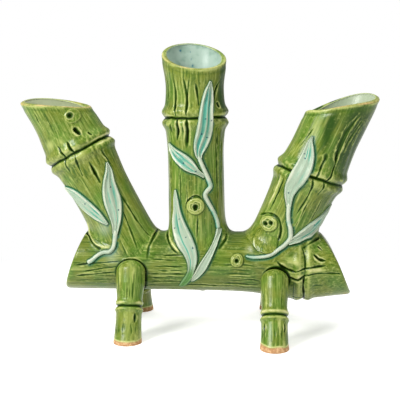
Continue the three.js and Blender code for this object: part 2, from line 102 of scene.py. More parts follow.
# lean is positive to the right, mouthRise is the slope of the mouth to the right and mouthFall
# its slope down to the front. Two facing sides of the rim stand mouthCrown above the other two,
# and mouthTurn is how far the nearer of them lies to the right of the front.
flare = {"length": 4.5, "front": 0.8}
lipLength = 16
ringGap = {"pitch": 4.6, "beadWidth": 3.6, "groove": 0.5}
culmForms = {
    "left": {
        "x": -46.5, "lean": -28.2, "radius": 23.1, "length": 141.9, "lipRadius": 24.1,
        "mouthRise": -3.9, "mouthFall": 5.2, "mouthCrown": 2.1, "mouthTurn": 8,
        "flareLeft": 2.6, "flareRight": 2, "ringAt": 99.6, "ringTilt": 0,
        "ring": {**ringGap, "bead": 2.2, "shoulder": 3, "shoulderWidth": 22},
    },
    "centre": {
        "x": 0.8, "lean": -1.1, "radius": 22.1, "length": 163.2, "lipRadius": 25.5,
        "mouthRise": -6.7, "mouthFall": 25, "mouthCrown": 0, "mouthTurn": 0,
        "flareLeft": 2.4, "flareRight": 5.4, "ringAt": 115.2, "ringTilt": 0,
        "ring": {**ringGap, "bead": 2.3, "shoulder": 2, "shoulderWidth": 17},
    },
    "right": {
        "x": 57.9, "lean": 24.1, "radius": 24, "length": 135.3, "lipRadius": 24.3,
        "mouthRise": 12, "mouthFall": 6.2, "mouthCrown": 4.9, "mouthTurn": -15,
        "corner": 3.8, "cornerAt": -75, "cornerWidth": 30,
        "flareLeft": 3, "flareRight": 2.5, "ringAt": 77.3, "ringTilt": 3,
        "ring": {**ringGap, "bead": 2.1, "shoulder": 2.4, "shoulderWidth": 18},
    },
}
for form in culmForms.values():
    lean = math.radians(form["lean"])
    form["origin"] = np.array([form["x"], 0, logForm["axisHeight"]])
    form["axis"] = np.array([math.sin(lean), 0, math.cos(lean)])
    form["side"] = np.array([math.cos(lean), 0, -math.sin(lean)])
    slopes = math.radians(form["mouthRise"]), math.radians(form["mouthFall"])
    form["mouth"] = np.array([-math.tan(slopes[0]), -math.tan(slopes[1]), 1])


def bump(distance, width):
    return np.exp(-(distance / width) ** 2)


def fadeIn(value, start, full):
    # 0 up to the start and 1 from where it is full
    return np.clip((value - start) / (full - start), 0, 1)


def nodeRing(distance, ring, covered=False):
    shoulder = ring["shoulder"] * bump(distance, ring["shoulderWidth"])
    if covered:
        # Clay laid over the ring bridges its groove
        reach = ring["pitch"] + 1.2 * ring["beadWidth"]
        return shoulder + 1.15 * ring["bead"] * np.exp(-(distance / reach) ** 4)
    beads = sum(bump(distance + offset, ring["beadWidth"]) for offset in (-ring["pitch"], ring["pitch"]))
    return shoulder + ring["bead"] * beads - ring["groove"] * bump(distance, ring["beadWidth"] / 2)


def logScale(x, angle):
    fromNode = x - logForm["nodeAt"]
    below = np.maximum(0, -np.sin(angle))
    front = logForm["swellFront"] * np.cos(angle) ** 2 * bump(fromNode, logForm["swellWidth"])
    sagWidth = np.where(fromNode < 0, logForm["sagLeft"], logForm["sagRight"])
    sag = logForm["sagBelow"] * below ** 2 * bump(fromNode, sagWidth)
    return 1 + (front + sag + nodeRing(fromNode, logForm["ring"])) / logForm["halfDepth"]


def logShift(x, rise):
    # The end faces slant, and the right one bulges too; both fade out before the node
    reach = 0.7 * logForm["halfHeight"]
    height = np.clip(rise / logForm["halfHeight"], -1, 1)
    bulge = logForm["rightBulge"] * (1 - height ** 2) * (1 + height)
    left = fadeIn(x, logForm["leftEnd"] + reach, logForm["leftEnd"])
    right = fadeIn(x, logForm["rightEnd"] - reach, logForm["rightEnd"])
    leftSlope, rightSlope = (math.tan(math.radians(logForm[key])) for key in ("leftSlant", "rightSlant"))
    return left * leftSlope * rise + right * (bulge - rightSlope * rise)


def logPoint(x, angle, lift=0, share=1):
    scale = (logScale(x, angle) + lift / logForm["halfDepth"]) * share
    rise = logForm["halfHeight"] * scale * np.sin(angle)
    depth = -logForm["halfDepth"] * scale * np.cos(angle)
    return np.stack([x + logShift(x, rise), depth, logForm["axisHeight"] + rise], -1)


def logDistance(p):
    rise = (p[..., 2] - logForm["axisHeight"]) / logForm["halfHeight"]
    depth = -p[..., 1] / logForm["halfDepth"]
    scale = logScale(p[..., 0], np.arctan2(rise, depth))
    return (np.hypot(rise, depth) - scale) * logForm["halfHeight"]


def around(form, angle):
    sideways = np.sin(angle)[..., None] * form["side"]
    return sideways + np.cos(angle)[..., None] * np.array([0, -1, 0])


def culmPoint(form, along, angle, radius):
    radius = np.broadcast_to(radius, np.shape(angle))
    along = np.broadcast_to(along, np.shape(angle))
    return form["origin"] + along[..., None] * form["axis"] + radius[..., None] * around(form, angle)


def mouthAt(form, angle):
    slant = form["radius"] * (around(form, angle) @ form["mouth"]) / (form["mouth"] @ form["axis"])
    crown = form["mouthCrown"] * np.cos(angle - math.radians(form["mouthTurn"])) ** 2
    mouth = form["length"] - slant + crown
    if "corner" in form:
        # The saw left a corner standing here
        mouth = mouth + form["corner"] * bump(np.degrees(angle) - form["cornerAt"], form["cornerWidth"])
    return mouth


def joinAt(form, angle, radius):
    reach = np.minimum(1, radius * np.abs(np.cos(angle)) / logForm["halfDepth"])
    rise = logForm["halfHeight"] * np.sqrt(1 - reach ** 2)
    return (rise + radius * np.sin(angle) * form["axis"][0]) / form["axis"][2]


def ringLine(form, angle):
    return form["ringAt"] + form["ringTilt"] * np.sin(angle)


def shaftRadius(form, along, angle):
    below = np.maximum(0, mouthAt(form, angle) - along)
    return form["radius"] + (form["lipRadius"] - form["radius"]) * bump(below, lipLength)


def culmRadius(form, along, angle, covered=False):
    sideways = np.sin(angle)
    flareSide = np.where(sideways < 0, form["flareLeft"], form["flareRight"])
    spread = flare["front"] + (flareSide - flare["front"]) * sideways ** 2
    above = np.maximum(0, along - joinAt(form, angle, form["radius"]))
    ring = nodeRing(along - ringLine(form, angle), form["ring"], covered)
    return shaftRadius(form, along, angle) + ring + spread * np.exp(-above / flare["length"])


def culmDistance(form, p):
    offset = p - form["origin"]
    along = offset @ form["axis"]
    sideways = offset @ form["side"]
    angle = np.arctan2(sideways, -offset[..., 1])
    gap = np.hypot(sideways, offset[..., 1]) - culmRadius(form, along, angle, True)
    # Below the log's axis the culm has ended, and fades out
    gap = gap + 0.9 * np.maximum(0, -along)
    return np.where(along > 1.1 * form["length"], logForm["halfDepth"], gap)


def jointReach(p):
    return joint["side"] + (joint["front"] - joint["side"]) * np.clip(np.abs(p[..., 1]) / joint["span"], 0, 1)


def slipAt(p, gap):
    # How far the slip in the crease lifts a skin, by the skin's distance from the other piece
    reach = jointReach(p)
    return np.maximum(np.sqrt(reach) - np.sqrt(np.maximum(gap, reach / 4)), 0) ** 2


def bambooDistance(p):
    nearest = logDistance(p)
    reach = jointReach(p)
    for form in culmForms.values():
        other = culmDistance(form, p)
        overlap = np.maximum(reach - np.abs(nearest - other), 0)
        nearest = np.minimum(nearest, other) - overlap ** 2 / (4 * reach)
    return nearest


def bambooNormal(p, step=0.8):
    steps = np.eye(3) * step
    slope = np.stack([bambooDistance(p + s) - bambooDistance(p - s) for s in steps], -1)
    return slope / np.linalg.norm(slope, axis=-1, keepdims=True)


def layOn(start, direction, lift):
    # Clay laid on the bamboo: where each line of sight meets it, raised along its normal
    travel = np.zeros(start.shape[:-1])
    for _ in range(laying["rounds"]):
        gap = bambooDistance(start + direction * travel[..., None])
        travel = np.clip(travel + laying["stride"] * gap, 0, laying["farthest"])
    point = start + direction * travel[..., None]
    return point + bambooNormal(point) * np.asarray(lift)[..., None]


def layFromFront(across, up, lift):
    start = np.stack([across, np.full_like(across, -laying["fromFront"]), up], -1)
    return layOn(start, np.broadcast_to(np.array([0, 1, 0]), start.shape), lift)


def layRound(form, arc, along, lift):
    outward = around(form, arc / form["radius"])
    start = form["origin"] + along[..., None] * form["axis"] + laying["fromAxis"] * outward
    return layOn(start, -outward, lift)


# Hand-worked surface: soft hills, fibres and carved marks
tableSize = 128


def hills(a, b, seed, wrap=None):
    # Smooth random hills from -1 to 1, one to each whole step of a and b
    table = np.random.default_rng(seed).uniform(-1, 1, (tableSize, tableSize))
    wholeA, wholeB = np.floor(a).astype(int), np.floor(b).astype(int)
    partA, partB = a - wholeA, b - wholeB
    partA, partB = partA * partA * (3 - 2 * partA), partB * partB * (3 - 2 * partB)

    def corner(stepA, stepB):
        column = wholeA + stepA
        if wrap:
            column = column % wrap
        return table[column % tableSize, (wholeB + stepB) % tableSize]

    lower = corner(0, 0) * (1 - partA) + corner(1, 0) * partA
    upper = corner(0, 1) * (1 - partA) + corner(1, 1) * partA
    return lower * (1 - partB) + upper * partB


def hillsRound(turn, count, along, seed):
    # Hills that close on themselves, so many of them to a turn
    return hills((turn / math.tau + 0.5) * count, along, seed, count)


def splinePath(points, perSpan=8):
    # A smooth line through given points
    points = np.array(points, float)
    if len(points) < 2:
        return points
    padded = np.vstack([2 * points[0] - points[1], points, 2 * points[-1] - points[-2]])
    t = np.linspace(0, 1, perSpan, endpoint=False)[:, None]
    spans = []
    for i in range(len(points) - 1):
        a, b, c, d = padded[i:i + 4]
        spans.append(0.5 * (2 * b + (c - a) * t + (2 * a - 5 * b + 4 * c - d) * t ** 2
                            + (3 * b - a - 3 * c + d) * t ** 3))
    return np.vstack([*spans, points[-1:]])


def nearPath(a, b, path):
    # Distance of each point from a line and how far along the line it is
    best = np.full(a.shape, 1e9)
    place = np.zeros(a.shape)
    walked = 0
    for start, end in zip(path[:-1], path[1:]):
        step = end - start
        length = max(np.hypot(*step), 1e-6)
        t = np.clip(((a - start[0]) * step[0] + (b - start[1]) * step[1]) / length ** 2, 0, 1)
        gap = np.hypot(a - start[0] - t * step[0], b - start[1] - t * step[1])
        closer = gap < best
        best = np.where(closer, gap, best)
        place = np.where(closer, walked + t * length, place)
        walked += length
    return best, place, walked


def newSkin(a, b):
    return {"a": a, "b": b, "lift": np.zeros(a.shape), "pool": np.zeros(a.shape), "edge": np.zeros(a.shape)}


def gather(skin, layer, amount):
    # Glaze doesn't add up where two causes meet: the stronger one shows
    skin[layer] = np.maximum(skin[layer], amount)


# What a mark is where it doesn't say: rim and cream are the burr beside the cut and the pale glaze
# on it, crest is the pale glaze on a raised one, and taper is how far the ends run out
usualMark = {"wide": 0.8, "deep": 1, "dark": 0.55, "crest": 0, "taper": 5, "rim": 0.22, "cream": 0.25}


def carve(skin, marks, unit):
    # Cuts or raises marks on a skin. unit turns a mark's own coordinates into millimetres. Where
    # deep, dark or crest is a pair, it runs from the first end of the path to the last.
    for mark in ({**usualMark, **own} for own in marks):
        path = splinePath(mark["path"]) * np.array(unit)
        wide = mark["wide"]
        reach = 5 * wide + 1
        low, high = path.min(0) - reach, path.max(0) + reach
        near = (skin["a"] > low[0]) & (skin["a"] < high[0]) & (skin["b"] > low[1]) & (skin["b"] < high[1])
        if not near.any():
            continue
        distance, place, length = nearPath(skin["a"][near], skin["b"][near], path)
        deep, dark, crest = (
            np.interp(place / max(length, 1e-6), (0, 1), np.broadcast_to(mark[key], 2))
            for key in ("deep", "dark", "crest")
        )
        taper = np.ones(distance.shape)
        if mark["taper"]:
            taper = np.clip(np.minimum(place, length - place) / mark["taper"], 0.02, 1) ** 0.6
        # A cut by hand: it wanders, and widens and narrows as it goes
        hand = hills(place / 3.5, path[0, 0], 17)
        press = hills(place / 6, path[0, 1], 18)
        distance = np.abs(distance + 0.3 * wide * hand)
        width = 0.8 * wide * (0.4 + 0.6 * taper) * (1 + 0.4 * press)
        cut = bump(distance, width) * taper
        rim = bump(distance - 1.9 * width, 0.9 * width) * taper * (0.7 + 0.5 * hand)
        skin["lift"][near] += mark["rim"] * rim - deep * cut * (1 + 0.3 * press)
        skin["pool"][near] = np.maximum(skin["pool"][near], dark * cut)
        glow = mark["cream"] * rim + crest * cut
        skin["edge"][near] = np.maximum(skin["edge"][near], glow)


def carveFront(skin, points):
    # Marks set out as seen from the front, which run over from one piece to the next
    front = {**skin, "a": points[..., 0], "b": np.where(points[..., 1] < 0, points[..., 2], -999)}
    carve(front, seatMarks, (1, 1))


def relax(heights, times):
    # Evens out a grid of heights whose sides close on themselves
    for _ in range(times):
        ends = np.vstack([heights[:1], heights, heights[-1:]])
        heights = (ends[:-2] + 2 * heights + ends[2:]) / 4
        heights = (np.roll(heights, 1, 1) + 2 * heights + np.roll(heights, -1, 1)) / 4
    return heights


# Fine cuts and broad hollows: rounds of evening out, and the depth in millimetres that is full
hollows = [(8, 0.62), (60, 1.7)]


def poolGlaze(skin, relief):
    # Glaze runs off what stands out and gathers in what lies deep
    deep = sum((relax(relief, times) - relief) / full for times, full in hollows)
    gather(skin, "pool", np.clip(deep - 0.03, 0, 1.25))
    gather(skin, "edge", np.clip(-0.95 * deep, 0, 0.8))


# Meshes
def makeMesh(name, grid, layers={}, material=None, ringShaped=False):
    # grid holds points in millimetres, in rows that close on themselves. The first and last rows
    # close in fans round a middle point, or meet where the piece is ring-shaped.
    rows, sides = grid.shape[:2]
    i = np.arange(rows if ringShaped else rows - 1)[:, None]
    j = np.arange(sides)[None, :]
    down, over = (i + 1) % rows, (j + 1) % sides
    quads = [i * sides + j, i * sides + over, down * sides + over, down * sides + j]
    quads = np.stack(quads, -1).reshape(-1, 4)
    points = grid.reshape(-1, 3)
    layers = {key: np.asarray(value).reshape(len(points), -1) for key, value in layers.items()}
    triangles = np.zeros((0, 3), int)
    ends = [] if ringShaped else [np.arange(sides)[::-1], (rows - 1) * sides + np.arange(sides)]
    for ring in ends:
        middle = np.full(sides, len(points))
        points = np.vstack([points, points[ring].mean(0)])
        layers = {key: np.vstack([value, value[ring].mean(0)]) for key, value in layers.items()}
        triangles = np.vstack([triangles, np.stack([ring, np.roll(ring, -1), middle], -1)])
    halves = np.vstack([quads[:, [0, 1, 2]], quads[:, [0, 2, 3]], triangles])
    a, b, c = (points[halves[:, k]] for k in range(3))
    if np.einsum("ij,ij->i", a, np.cross(b, c)).sum() < 0:
        # A negative volume means that the faces point inwards
        quads, triangles = quads[:, ::-1], triangles[:, ::-1]
    mesh = bpy.data.meshes.new(name)
    mesh.vertices.add(len(points))
    mesh.vertices.foreach_set("co", ((points + zeroShift) * mm).ravel())
    corners = np.concatenate([quads.ravel(), triangles.ravel()])
    mesh.loops.add(len(corners))
    mesh.loops.foreach_set("vertex_index", corners)
    starts = np.concatenate([np.arange(len(quads)) * 4, 4 * len(quads) + np.arange(len(triangles)) * 3])
    mesh.polygons.add(len(starts))
    mesh.polygons.foreach_set("loop_start", starts)
    mesh.update(calc_edges=True)
    if material:
        mesh.materials.append(material)
    return finishMesh(name, mesh, layers)


def finishMesh(name, mesh, layers):
    # Writes the layers that the glazes read, smooths the shading and makes the piece
    for key, value in layers.items():
        value = np.asarray(value, float).reshape(len(mesh.vertices), -1)
        kind, field = ("FLOAT_VECTOR", "vector") if value.shape[1] == 3 else ("FLOAT", "value")
        layer = mesh.attributes.new(key, kind, "POINT")
        layer.data.foreach_set(field, value.ravel())
    mesh.polygons.foreach_set("use_smooth", np.ones(len(mesh.polygons), bool))
    mesh.name = name
    return addObject(name + "_glazed", mesh)


def meshPoints(mesh):
    points = np.zeros(len(mesh.vertices) * 3)
    mesh.vertices.foreach_get("co", points)
    return points.reshape(-1, 3) / mm - zeroShift


def roundAngles(sides):
    return np.linspace(-math.pi, math.pi, sides, endpoint=False)


def settle(piece, node):
    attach(piece, "root")
    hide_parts(node)


# Glazes
def colour(text):
    # sRGB hex to linear
    parts = [int(text[k:k + 2], 16) / 255 for k in (1, 3, 5)]
    return (*(p / 12.92 if p <= 0.04045 else ((p + 0.055) / 1.055) ** 2.4 for p in parts), 1)


def addNode(tree, kind, settings={}, inputs={}):
    # A node with its settings, and its inputs either linked or set
    node = tree.nodes.new(kind)
    for key, value in settings.items():
        setattr(node, key, value)
    for key, value in inputs.items():
        if isinstance(value, bpy.types.NodeSocket):
            tree.links.new(value, node.inputs[key])
        else:
            node.inputs[key].default_value = value
    return node


def newMaterial(name):
    material = bpy.data.materials.new(name)
    material.use_nodes = True
    tree = material.node_tree
    tree.nodes.clear()
    return material, tree


def coatOver(tree, base, coats):
    # Lays coats over a base colour. Each says what drives it, where it starts and is full, and its
    # colour.
    for value, start, full, tint in coats:
        share = addNode(tree, "ShaderNodeMapRange", {"interpolation_type": "SMOOTHSTEP"},
                        {0: value, 1: start, 2: full}).outputs[0]
        base = addNode(tree, "ShaderNodeMix", {"data_type": "RGBA"},
                       {0: share, 6: base, 7: colour(tint)}).outputs[2]
    return base


glazeIor = 1.52

# Translucent copper-green lead glaze on white earthenware: olive where thin, deep green where it
# pools in the carving, cream where it draws off the edges. The clay is bare and dull at the soles.
greenLook = {
    "olive": "#74802B", "leaf": "#5C7E28", "light": "#A3AE5E", "shade": "#3F5E12", "deep": "#274705",
    "black": "#101D03", "cream": "#D0CE90", "teal": "#1B654A", "blue": "#1E6C86",
    "mouth": "#ABC1B2", "mouthShade": "#8DAB99", "mouthGreen": "#B0B68E",
    "clay": "#B28459", "clayLight": "#D6AE80", "clayRoughness": 0.85,
    "patch": 24, "cloud": 9, "mottle": 2.4, "noiseRoughness": 0.6,
    "fibreWidth": 1.4, "fibreLength": 26, "threadWidth": 0.6, "threadLength": 12, "fibreRoughness": 0.55,
    "roughness": 0.3, "bump": 0.085, "gloss": 0.3, "glossInCuts": 0.03,
}


def greenGlaze():
    look = greenLook
    material, tree = newMaterial("green_lead_glaze")
    grain = addNode(tree, "ShaderNodeAttribute", {"attribute_name": "grain"}).outputs["Vector"]
    layer = {key: addNode(tree, "ShaderNodeAttribute", {"attribute_name": key}).outputs["Fac"]
             for key in ("pool", "edge", "teal", "pale", "tone", "speck", "bare")}
    streaks = []
    for kind in ("fibre", "thread"):
        stretch = (1 / look[kind + "Width"], 1 / look[kind + "Width"], 1 / look[kind + "Length"])
        along = addNode(tree, "ShaderNodeVectorMath", {"operation": "MULTIPLY"},
                        {0: grain, 1: stretch}).outputs[0]
        streaks.append(addNode(tree, "ShaderNodeTexNoise", {},
                               {"Vector": along, "Scale": 1.0, "Detail": 2.0,
                                "Roughness": look["fibreRoughness"]}).outputs[0])
    fibre, thread = streaks
    place = addNode(tree, "ShaderNodeTexCoord").outputs["Object"]
    patch, cloud, mottle = (
        addNode(tree, "ShaderNodeTexNoise", {},
                {"Vector": place, "Scale": 1 / (look[key] * mm), "Detail": detail,
                 "Roughness": look["noiseRoughness"]}).outputs[0]
        for key, detail in (("patch", 2.0), ("cloud", 2.0), ("mottle", 3.0))
    )
    # Cream shows where the glaze is thin, in ragged patches
    thin = addNode(tree, "ShaderNodeMath", {"operation": "MULTIPLY_ADD"},
                   {0: mottle, 1: 0.75, 2: layer["edge"]}).outputs[0]
    base = coatOver(tree, colour(look["olive"]), [
        (patch, 0.4, 0.62, look["leaf"]),
        (fibre, 0.51, 0.76, look["light"]),
        (fibre, 0.49, 0.29, look["shade"]),
        (thread, 0.44, 0.27, look["shade"]),
        (thread, 0.6, 0.82, look["light"]),
        (mottle, 0.58, 0.9, look["light"]),
        (layer["tone"], 0.0, 1.0, look["deep"]),
        (layer["tone"], 0.0, -1.0, look["light"]),
        (thin, 0.42, 0.95, look["light"]),
        (thin, 0.8, 1.45, look["cream"]),
        # Pooled glaze, together with the painted shade laid into the same layer
        (layer["pool"], 0.02, 0.34, look["shade"]),
        (layer["teal"], 0.05, 0.85, look["teal"]),
        (layer["pool"], 0.2, 0.75, look["deep"]),
        (layer["pool"], 0.65, 1.2, look["black"]),
    ])
    inside = coatOver(tree, colour(look["mouth"]), [
        (cloud, 0.45, 0.72, look["mouthShade"]),
        (layer["tone"], 0.0, -1.0, look["mouthGreen"]),
    ])
    base = addNode(tree, "ShaderNodeMix", {"data_type": "RGBA"},
                   {0: layer["pale"], 6: base, 7: inside}).outputs[2]
    base = coatOver(tree, base, [(layer["speck"], 0.0, 1.0, look["blue"])])
    clay = coatOver(tree, colour(look["clay"]), [(mottle, 0.42, 0.62, look["clayLight"])])
    base = addNode(tree, "ShaderNodeMix", {"data_type": "RGBA"},
                   {0: layer["bare"], 6: base, 7: clay}).outputs[2]
    dull = addNode(tree, "ShaderNodeMix", {},
                   {0: layer["bare"], 2: look["roughness"], 3: look["clayRoughness"]}).outputs[0]
    wave = addNode(tree, "ShaderNodeMath", {"operation": "ADD"}, {0: fibre, 1: mottle}).outputs[0]
    wave = addNode(tree, "ShaderNodeMath", {"operation": "MULTIPLY_ADD"},
                   {0: thread, 1: 0.5, 2: wave}).outputs[0]
    bumps = addNode(tree, "ShaderNodeBump", {},
                    {"Height": wave, "Distance": look["bump"] * mm, "Strength": 1.0}).outputs[0]
    # A deep cut hardly mirrors the room
    gloss = addNode(tree, "ShaderNodeMapRange", {},
                    {0: layer["pool"], 1: 0.3, 2: 1.1, 3: look["gloss"], 4: look["glossInCuts"]}).outputs[0]
    shader = addNode(tree, "ShaderNodeBsdfPrincipled", {},
                     {"Base Color": base, "Roughness": dull, "Normal": bumps, "IOR": glazeIor,
                      "Specular IOR Level": gloss}).outputs[0]
    addNode(tree, "ShaderNodeOutputMaterial", {}, {"Surface": shader})
    return material


# White tin-opaque glaze touched with copper turquoise that runs into the veins
leafLook = {
    "cream": "#C8CDB6", "pale": "#A0B29A", "turquoise": "#5FA48B", "deepTurquoise": "#3C8C79",
    "teal": "#2A7A5E", "green": "#5C8F45", "blue": "#123F52",
    "wash": 6, "mottle": 1.5, "roughness": 0.4, "bump": 0.1, "gloss": 0.35,
}


def leafGlaze():
    look = leafLook
    material, tree = newMaterial("turquoise_and_cream_glaze")
    layer = {key: addNode(tree, "ShaderNodeAttribute", {"attribute_name": key}).outputs["Fac"]
             for key in ("pool", "edge", "teal", "speck", "green")}
    place = addNode(tree, "ShaderNodeTexCoord").outputs["Object"]
    wash = addNode(tree, "ShaderNodeTexNoise", {},
                   {"Vector": place, "Scale": 1 / (look["wash"] * mm), "Detail": 2.0}).outputs[0]
    mottle = addNode(tree, "ShaderNodeTexNoise", {},
                     {"Vector": place, "Scale": 1 / (look["mottle"] * mm), "Detail": 3.0,
                      "Roughness": 0.6}).outputs[0]
    thin = addNode(tree, "ShaderNodeMath", {"operation": "MULTIPLY_ADD"},
                   {0: mottle, 1: 0.5, 2: layer["edge"]}).outputs[0]
    flow = addNode(tree, "ShaderNodeMath", {"operation": "MULTIPLY_ADD"},
                   {0: wash, 1: 0.5, 2: layer["pool"]}).outputs[0]
    base = coatOver(tree, colour(look["pale"]), [
        (thin, 0.42, 1.2, look["cream"]),
        (flow, 0.6, 1.25, look["turquoise"]),
        (flow, 1.0, 1.6, look["deepTurquoise"]),
        (layer["green"], 0.0, 1.0, look["green"]),
        (layer["teal"], 0.1, 0.9, look["teal"]),
        (layer["speck"], 0.0, 1.0, look["blue"]),
    ])
    bumps = addNode(tree, "ShaderNodeBump", {},
                    {"Height": mottle, "Distance": look["bump"] * mm, "Strength": 1.0}).outputs[0]
    shader = addNode(tree, "ShaderNodeBsdfPrincipled", {},
                     {"Base Color": base, "Roughness": look["roughness"], "Normal": bumps,
                      "IOR": glazeIor, "Specular IOR Level": look["gloss"]}).outputs[0]
    addNode(tree, "ShaderNodeOutputMaterial", {}, {"Surface": shader})
    return material


greenMaterial = greenGlaze()
leafMaterial = leafGlaze()
print("glazes mixed")

# Leaves. A path holds [across, up, half width] from tip to base as seen from the front, or the arc
# and the distance along a culm where the leaf is wrapped round that culm. Heights and widths of
# the shape are shares of the leaf's own height and half width.
leafShape = {
    "height": 1.9, "seat": 1.6, "stepsAlong": 110, "stepsAcross": 36, "speck": 0.6,
    "flat": 0.68, "rim": 0.27, "rimAt": 0.79, "rimWidth": 0.15, "ribWidth": 0.12, "swing": 0.1,
    "troughAt": 0.34, "troughWidth": 0.22, "dropFrom": 0.74, "dropLeft": 0.06,
    "veinBeside": 0.18, "veinWidth": 0.07, "fullHalf": 4, "greenFrom": (0.66, 0.8),
}
leaves = {
    "left_leaf_upper": {
        "path": [
            [-69.6, 135, 0.4], [-68.1, 128.5, 2], [-67.6, 120, 4.1], [-66.4, 112, 5.8], [-64.5, 104.5, 6.5],
            [-62.8, 97, 5.6], [-61.8, 90, 4.1], [-61.8, 84, 2.7], [-62.4, 79, 2],
        ],
        "trough": 0.36, "rib": 0.12, "tint": 0.75, "specks": [(-65.9, 115.8), (-59.5, 98)],
    },
    "left_leaf_lower": {
        "around": "left",
        "path": [
            [-27.5, 80.5, 0.4], [-23.4, 77.8, 2.4], [-19.6, 73.6, 4.2], [-16.8, 68, 5.4], [-14.2, 61.6, 5.7],
            [-11, 55, 5.2], [-7.9, 48.6, 4.1], [-5.4, 43, 2.4], [-3.6, 38.6, 0.8],
        ],
        "trough": 0.3, "rib": 0.1, "tint": 0.6, "specks": [(-86.3, 102.5)],
    },
    "centre_leaf_top": {
        "path": [
            [11.6, 197.6, 0.4], [11, 193.6, 1.7], [10.3, 190, 2.9], [9.5, 182.5, 4.3], [8.9, 174.5, 5],
            [8.2, 165, 5.7], [6.5, 156.5, 5.9], [4.6, 150, 5.4], [3.4, 145.5, 4.3], [3, 141.5, 2.8],
            [3.7, 138.4, 1.7],
        ],
        "trough": 0.38, "rib": 0.3, "tint": 1.1,
        "specks": [(8.5, 169), (12.7, 167.6), (5.4, 157.4), (9.3, 154.7)],
    },
    "centre_leaf_side": {
        "path": [
            [-20.8, 149.8, 0.4], [-17.4, 144.8, 2.6], [-13.7, 140.6, 4.4], [-9.4, 137, 5.3],
            [-5.2, 133.6, 5.2], [-1.3, 130.6, 3.8], [2.4, 127.9, 2], [7.6, 124.2, 1.3],
        ],
        "trough": 0.34, "rib": 0.2, "tint": 0.8, "specks": [(-8.9, 134.8), (0.8, 128.6)],
    },
    "centre_leaf_low": {
        "path": [
            [-15.6, 114, 0.4], [-14.7, 105.5, 1.9], [-13.9, 97, 3], [-13, 88.5, 5.2], [-11, 80.5, 6.8],
            [-7.9, 73.5, 7], [-4.2, 67, 5.7], [-2.1, 60, 4.4], [-2.5, 53, 2.8], [-4.3, 47, 2.6],
            [-8.4, 41.4, 2.2], [-12.6, 37.2, 0.7],
        ],
        "trough": 0.3, "rib": 0.05, "tint": 0.45, "vein": 1.1, "green": 1,
        "specks": [(-12.8, 91), (-16.3, 83.1), (-6.9, 77.1), (-1.6, 69.2)],
    },
    "centre_leaf_base": {
        "path": [
            [-3, 42.5, 0.6], [-0.7, 45.5, 1.9], [2.5, 49.2, 2.8], [6.8, 55.7, 3.3], [10.6, 62.2, 2.8],
            [13.6, 68, 2.2], [15.6, 72.6, 2], [17.3, 78.2, 1.9], [18.1, 83.2, 1.8],
        ],
        "trough": 0.08, "rib": 0, "tint": 0.3, "vein": 0.2, "specks": [],
    },
    "right_leaf_upper": {
        "path": [
            [89.4, 155.6, 0.4], [88.2, 151.5, 1.8], [87.4, 146.4, 3.5], [86, 139.7, 5.2], [83.1, 132.4, 6.4],
            [79, 125.2, 6.5], [75.1, 118.4, 5.4], [72.9, 112.2, 3.9], [72.4, 106, 2.5], [72.3, 101.8, 1.8],
        ],
        "trough": 0.34, "rib": 0.1, "tint": 0.6, "specks": [(83.6, 142.6), (83.8, 139.3), (71.9, 112.8)],
    },
    "right_leaf_lower": {
        "around": "right",
        "path": [
            [31, 64, 0.4], [29, 57.8, 2.2], [26.6, 51.8, 4], [23.2, 45.6, 5.4], [18.6, 39.6, 5.7],
            [13.6, 34, 4.4], [9.4, 28.8, 3.2], [4.6, 23.6, 2],
        ],
        "trough": 0.34, "rib": 0.1, "tint": 0.7, "specks": [(92.3, 87)],
    },
}
# Points round the foot of the relief, with how much teal and how much dark glaze lies there, and
# whether the painted shade beside it lies more above (positive) or below
outlines = []


def layStrip(strip, across, lift):
    # Lays a strip on the bamboo. across holds shares of its half width, lift heights in millimetres.
    line = splinePath(strip["path"], 12)
    t = np.linspace(0, len(line) - 1, lift.shape[0])
    line = np.stack([np.interp(t, np.arange(len(line)), line[:, k]) for k in range(3)], -1)
    ahead = np.gradient(line[:, :2], axis=0)
    ahead /= np.linalg.norm(ahead, axis=1, keepdims=True)
    a = line[:, :1] + ahead[:, 1:] * line[:, 2:] * across
    b = line[:, 1:2] - ahead[:, :1] * line[:, 2:] * across
    if "around" in strip:
        return layRound(culmForms[strip["around"]], a, b, lift), line
    return layFromFront(a, b, lift), line


def stripGrid(shape):
    # How far each point of a strip lies along it, across it (-1 to 1) and from its middle
    share = np.linspace(0, 1, shape["stepsAlong"])[:, None]
    across = np.sin(np.linspace(-1, 1, shape["stepsAcross"]) * math.pi / 2)[None, :] * np.ones(share.shape)
    return share, across, np.abs(across)


def dropAt(share, start, left=0.05):
    # A rounded fall to a small share of the height
    return np.sqrt(1 - (1 - left) * fadeIn(share, start, 1) ** 2)


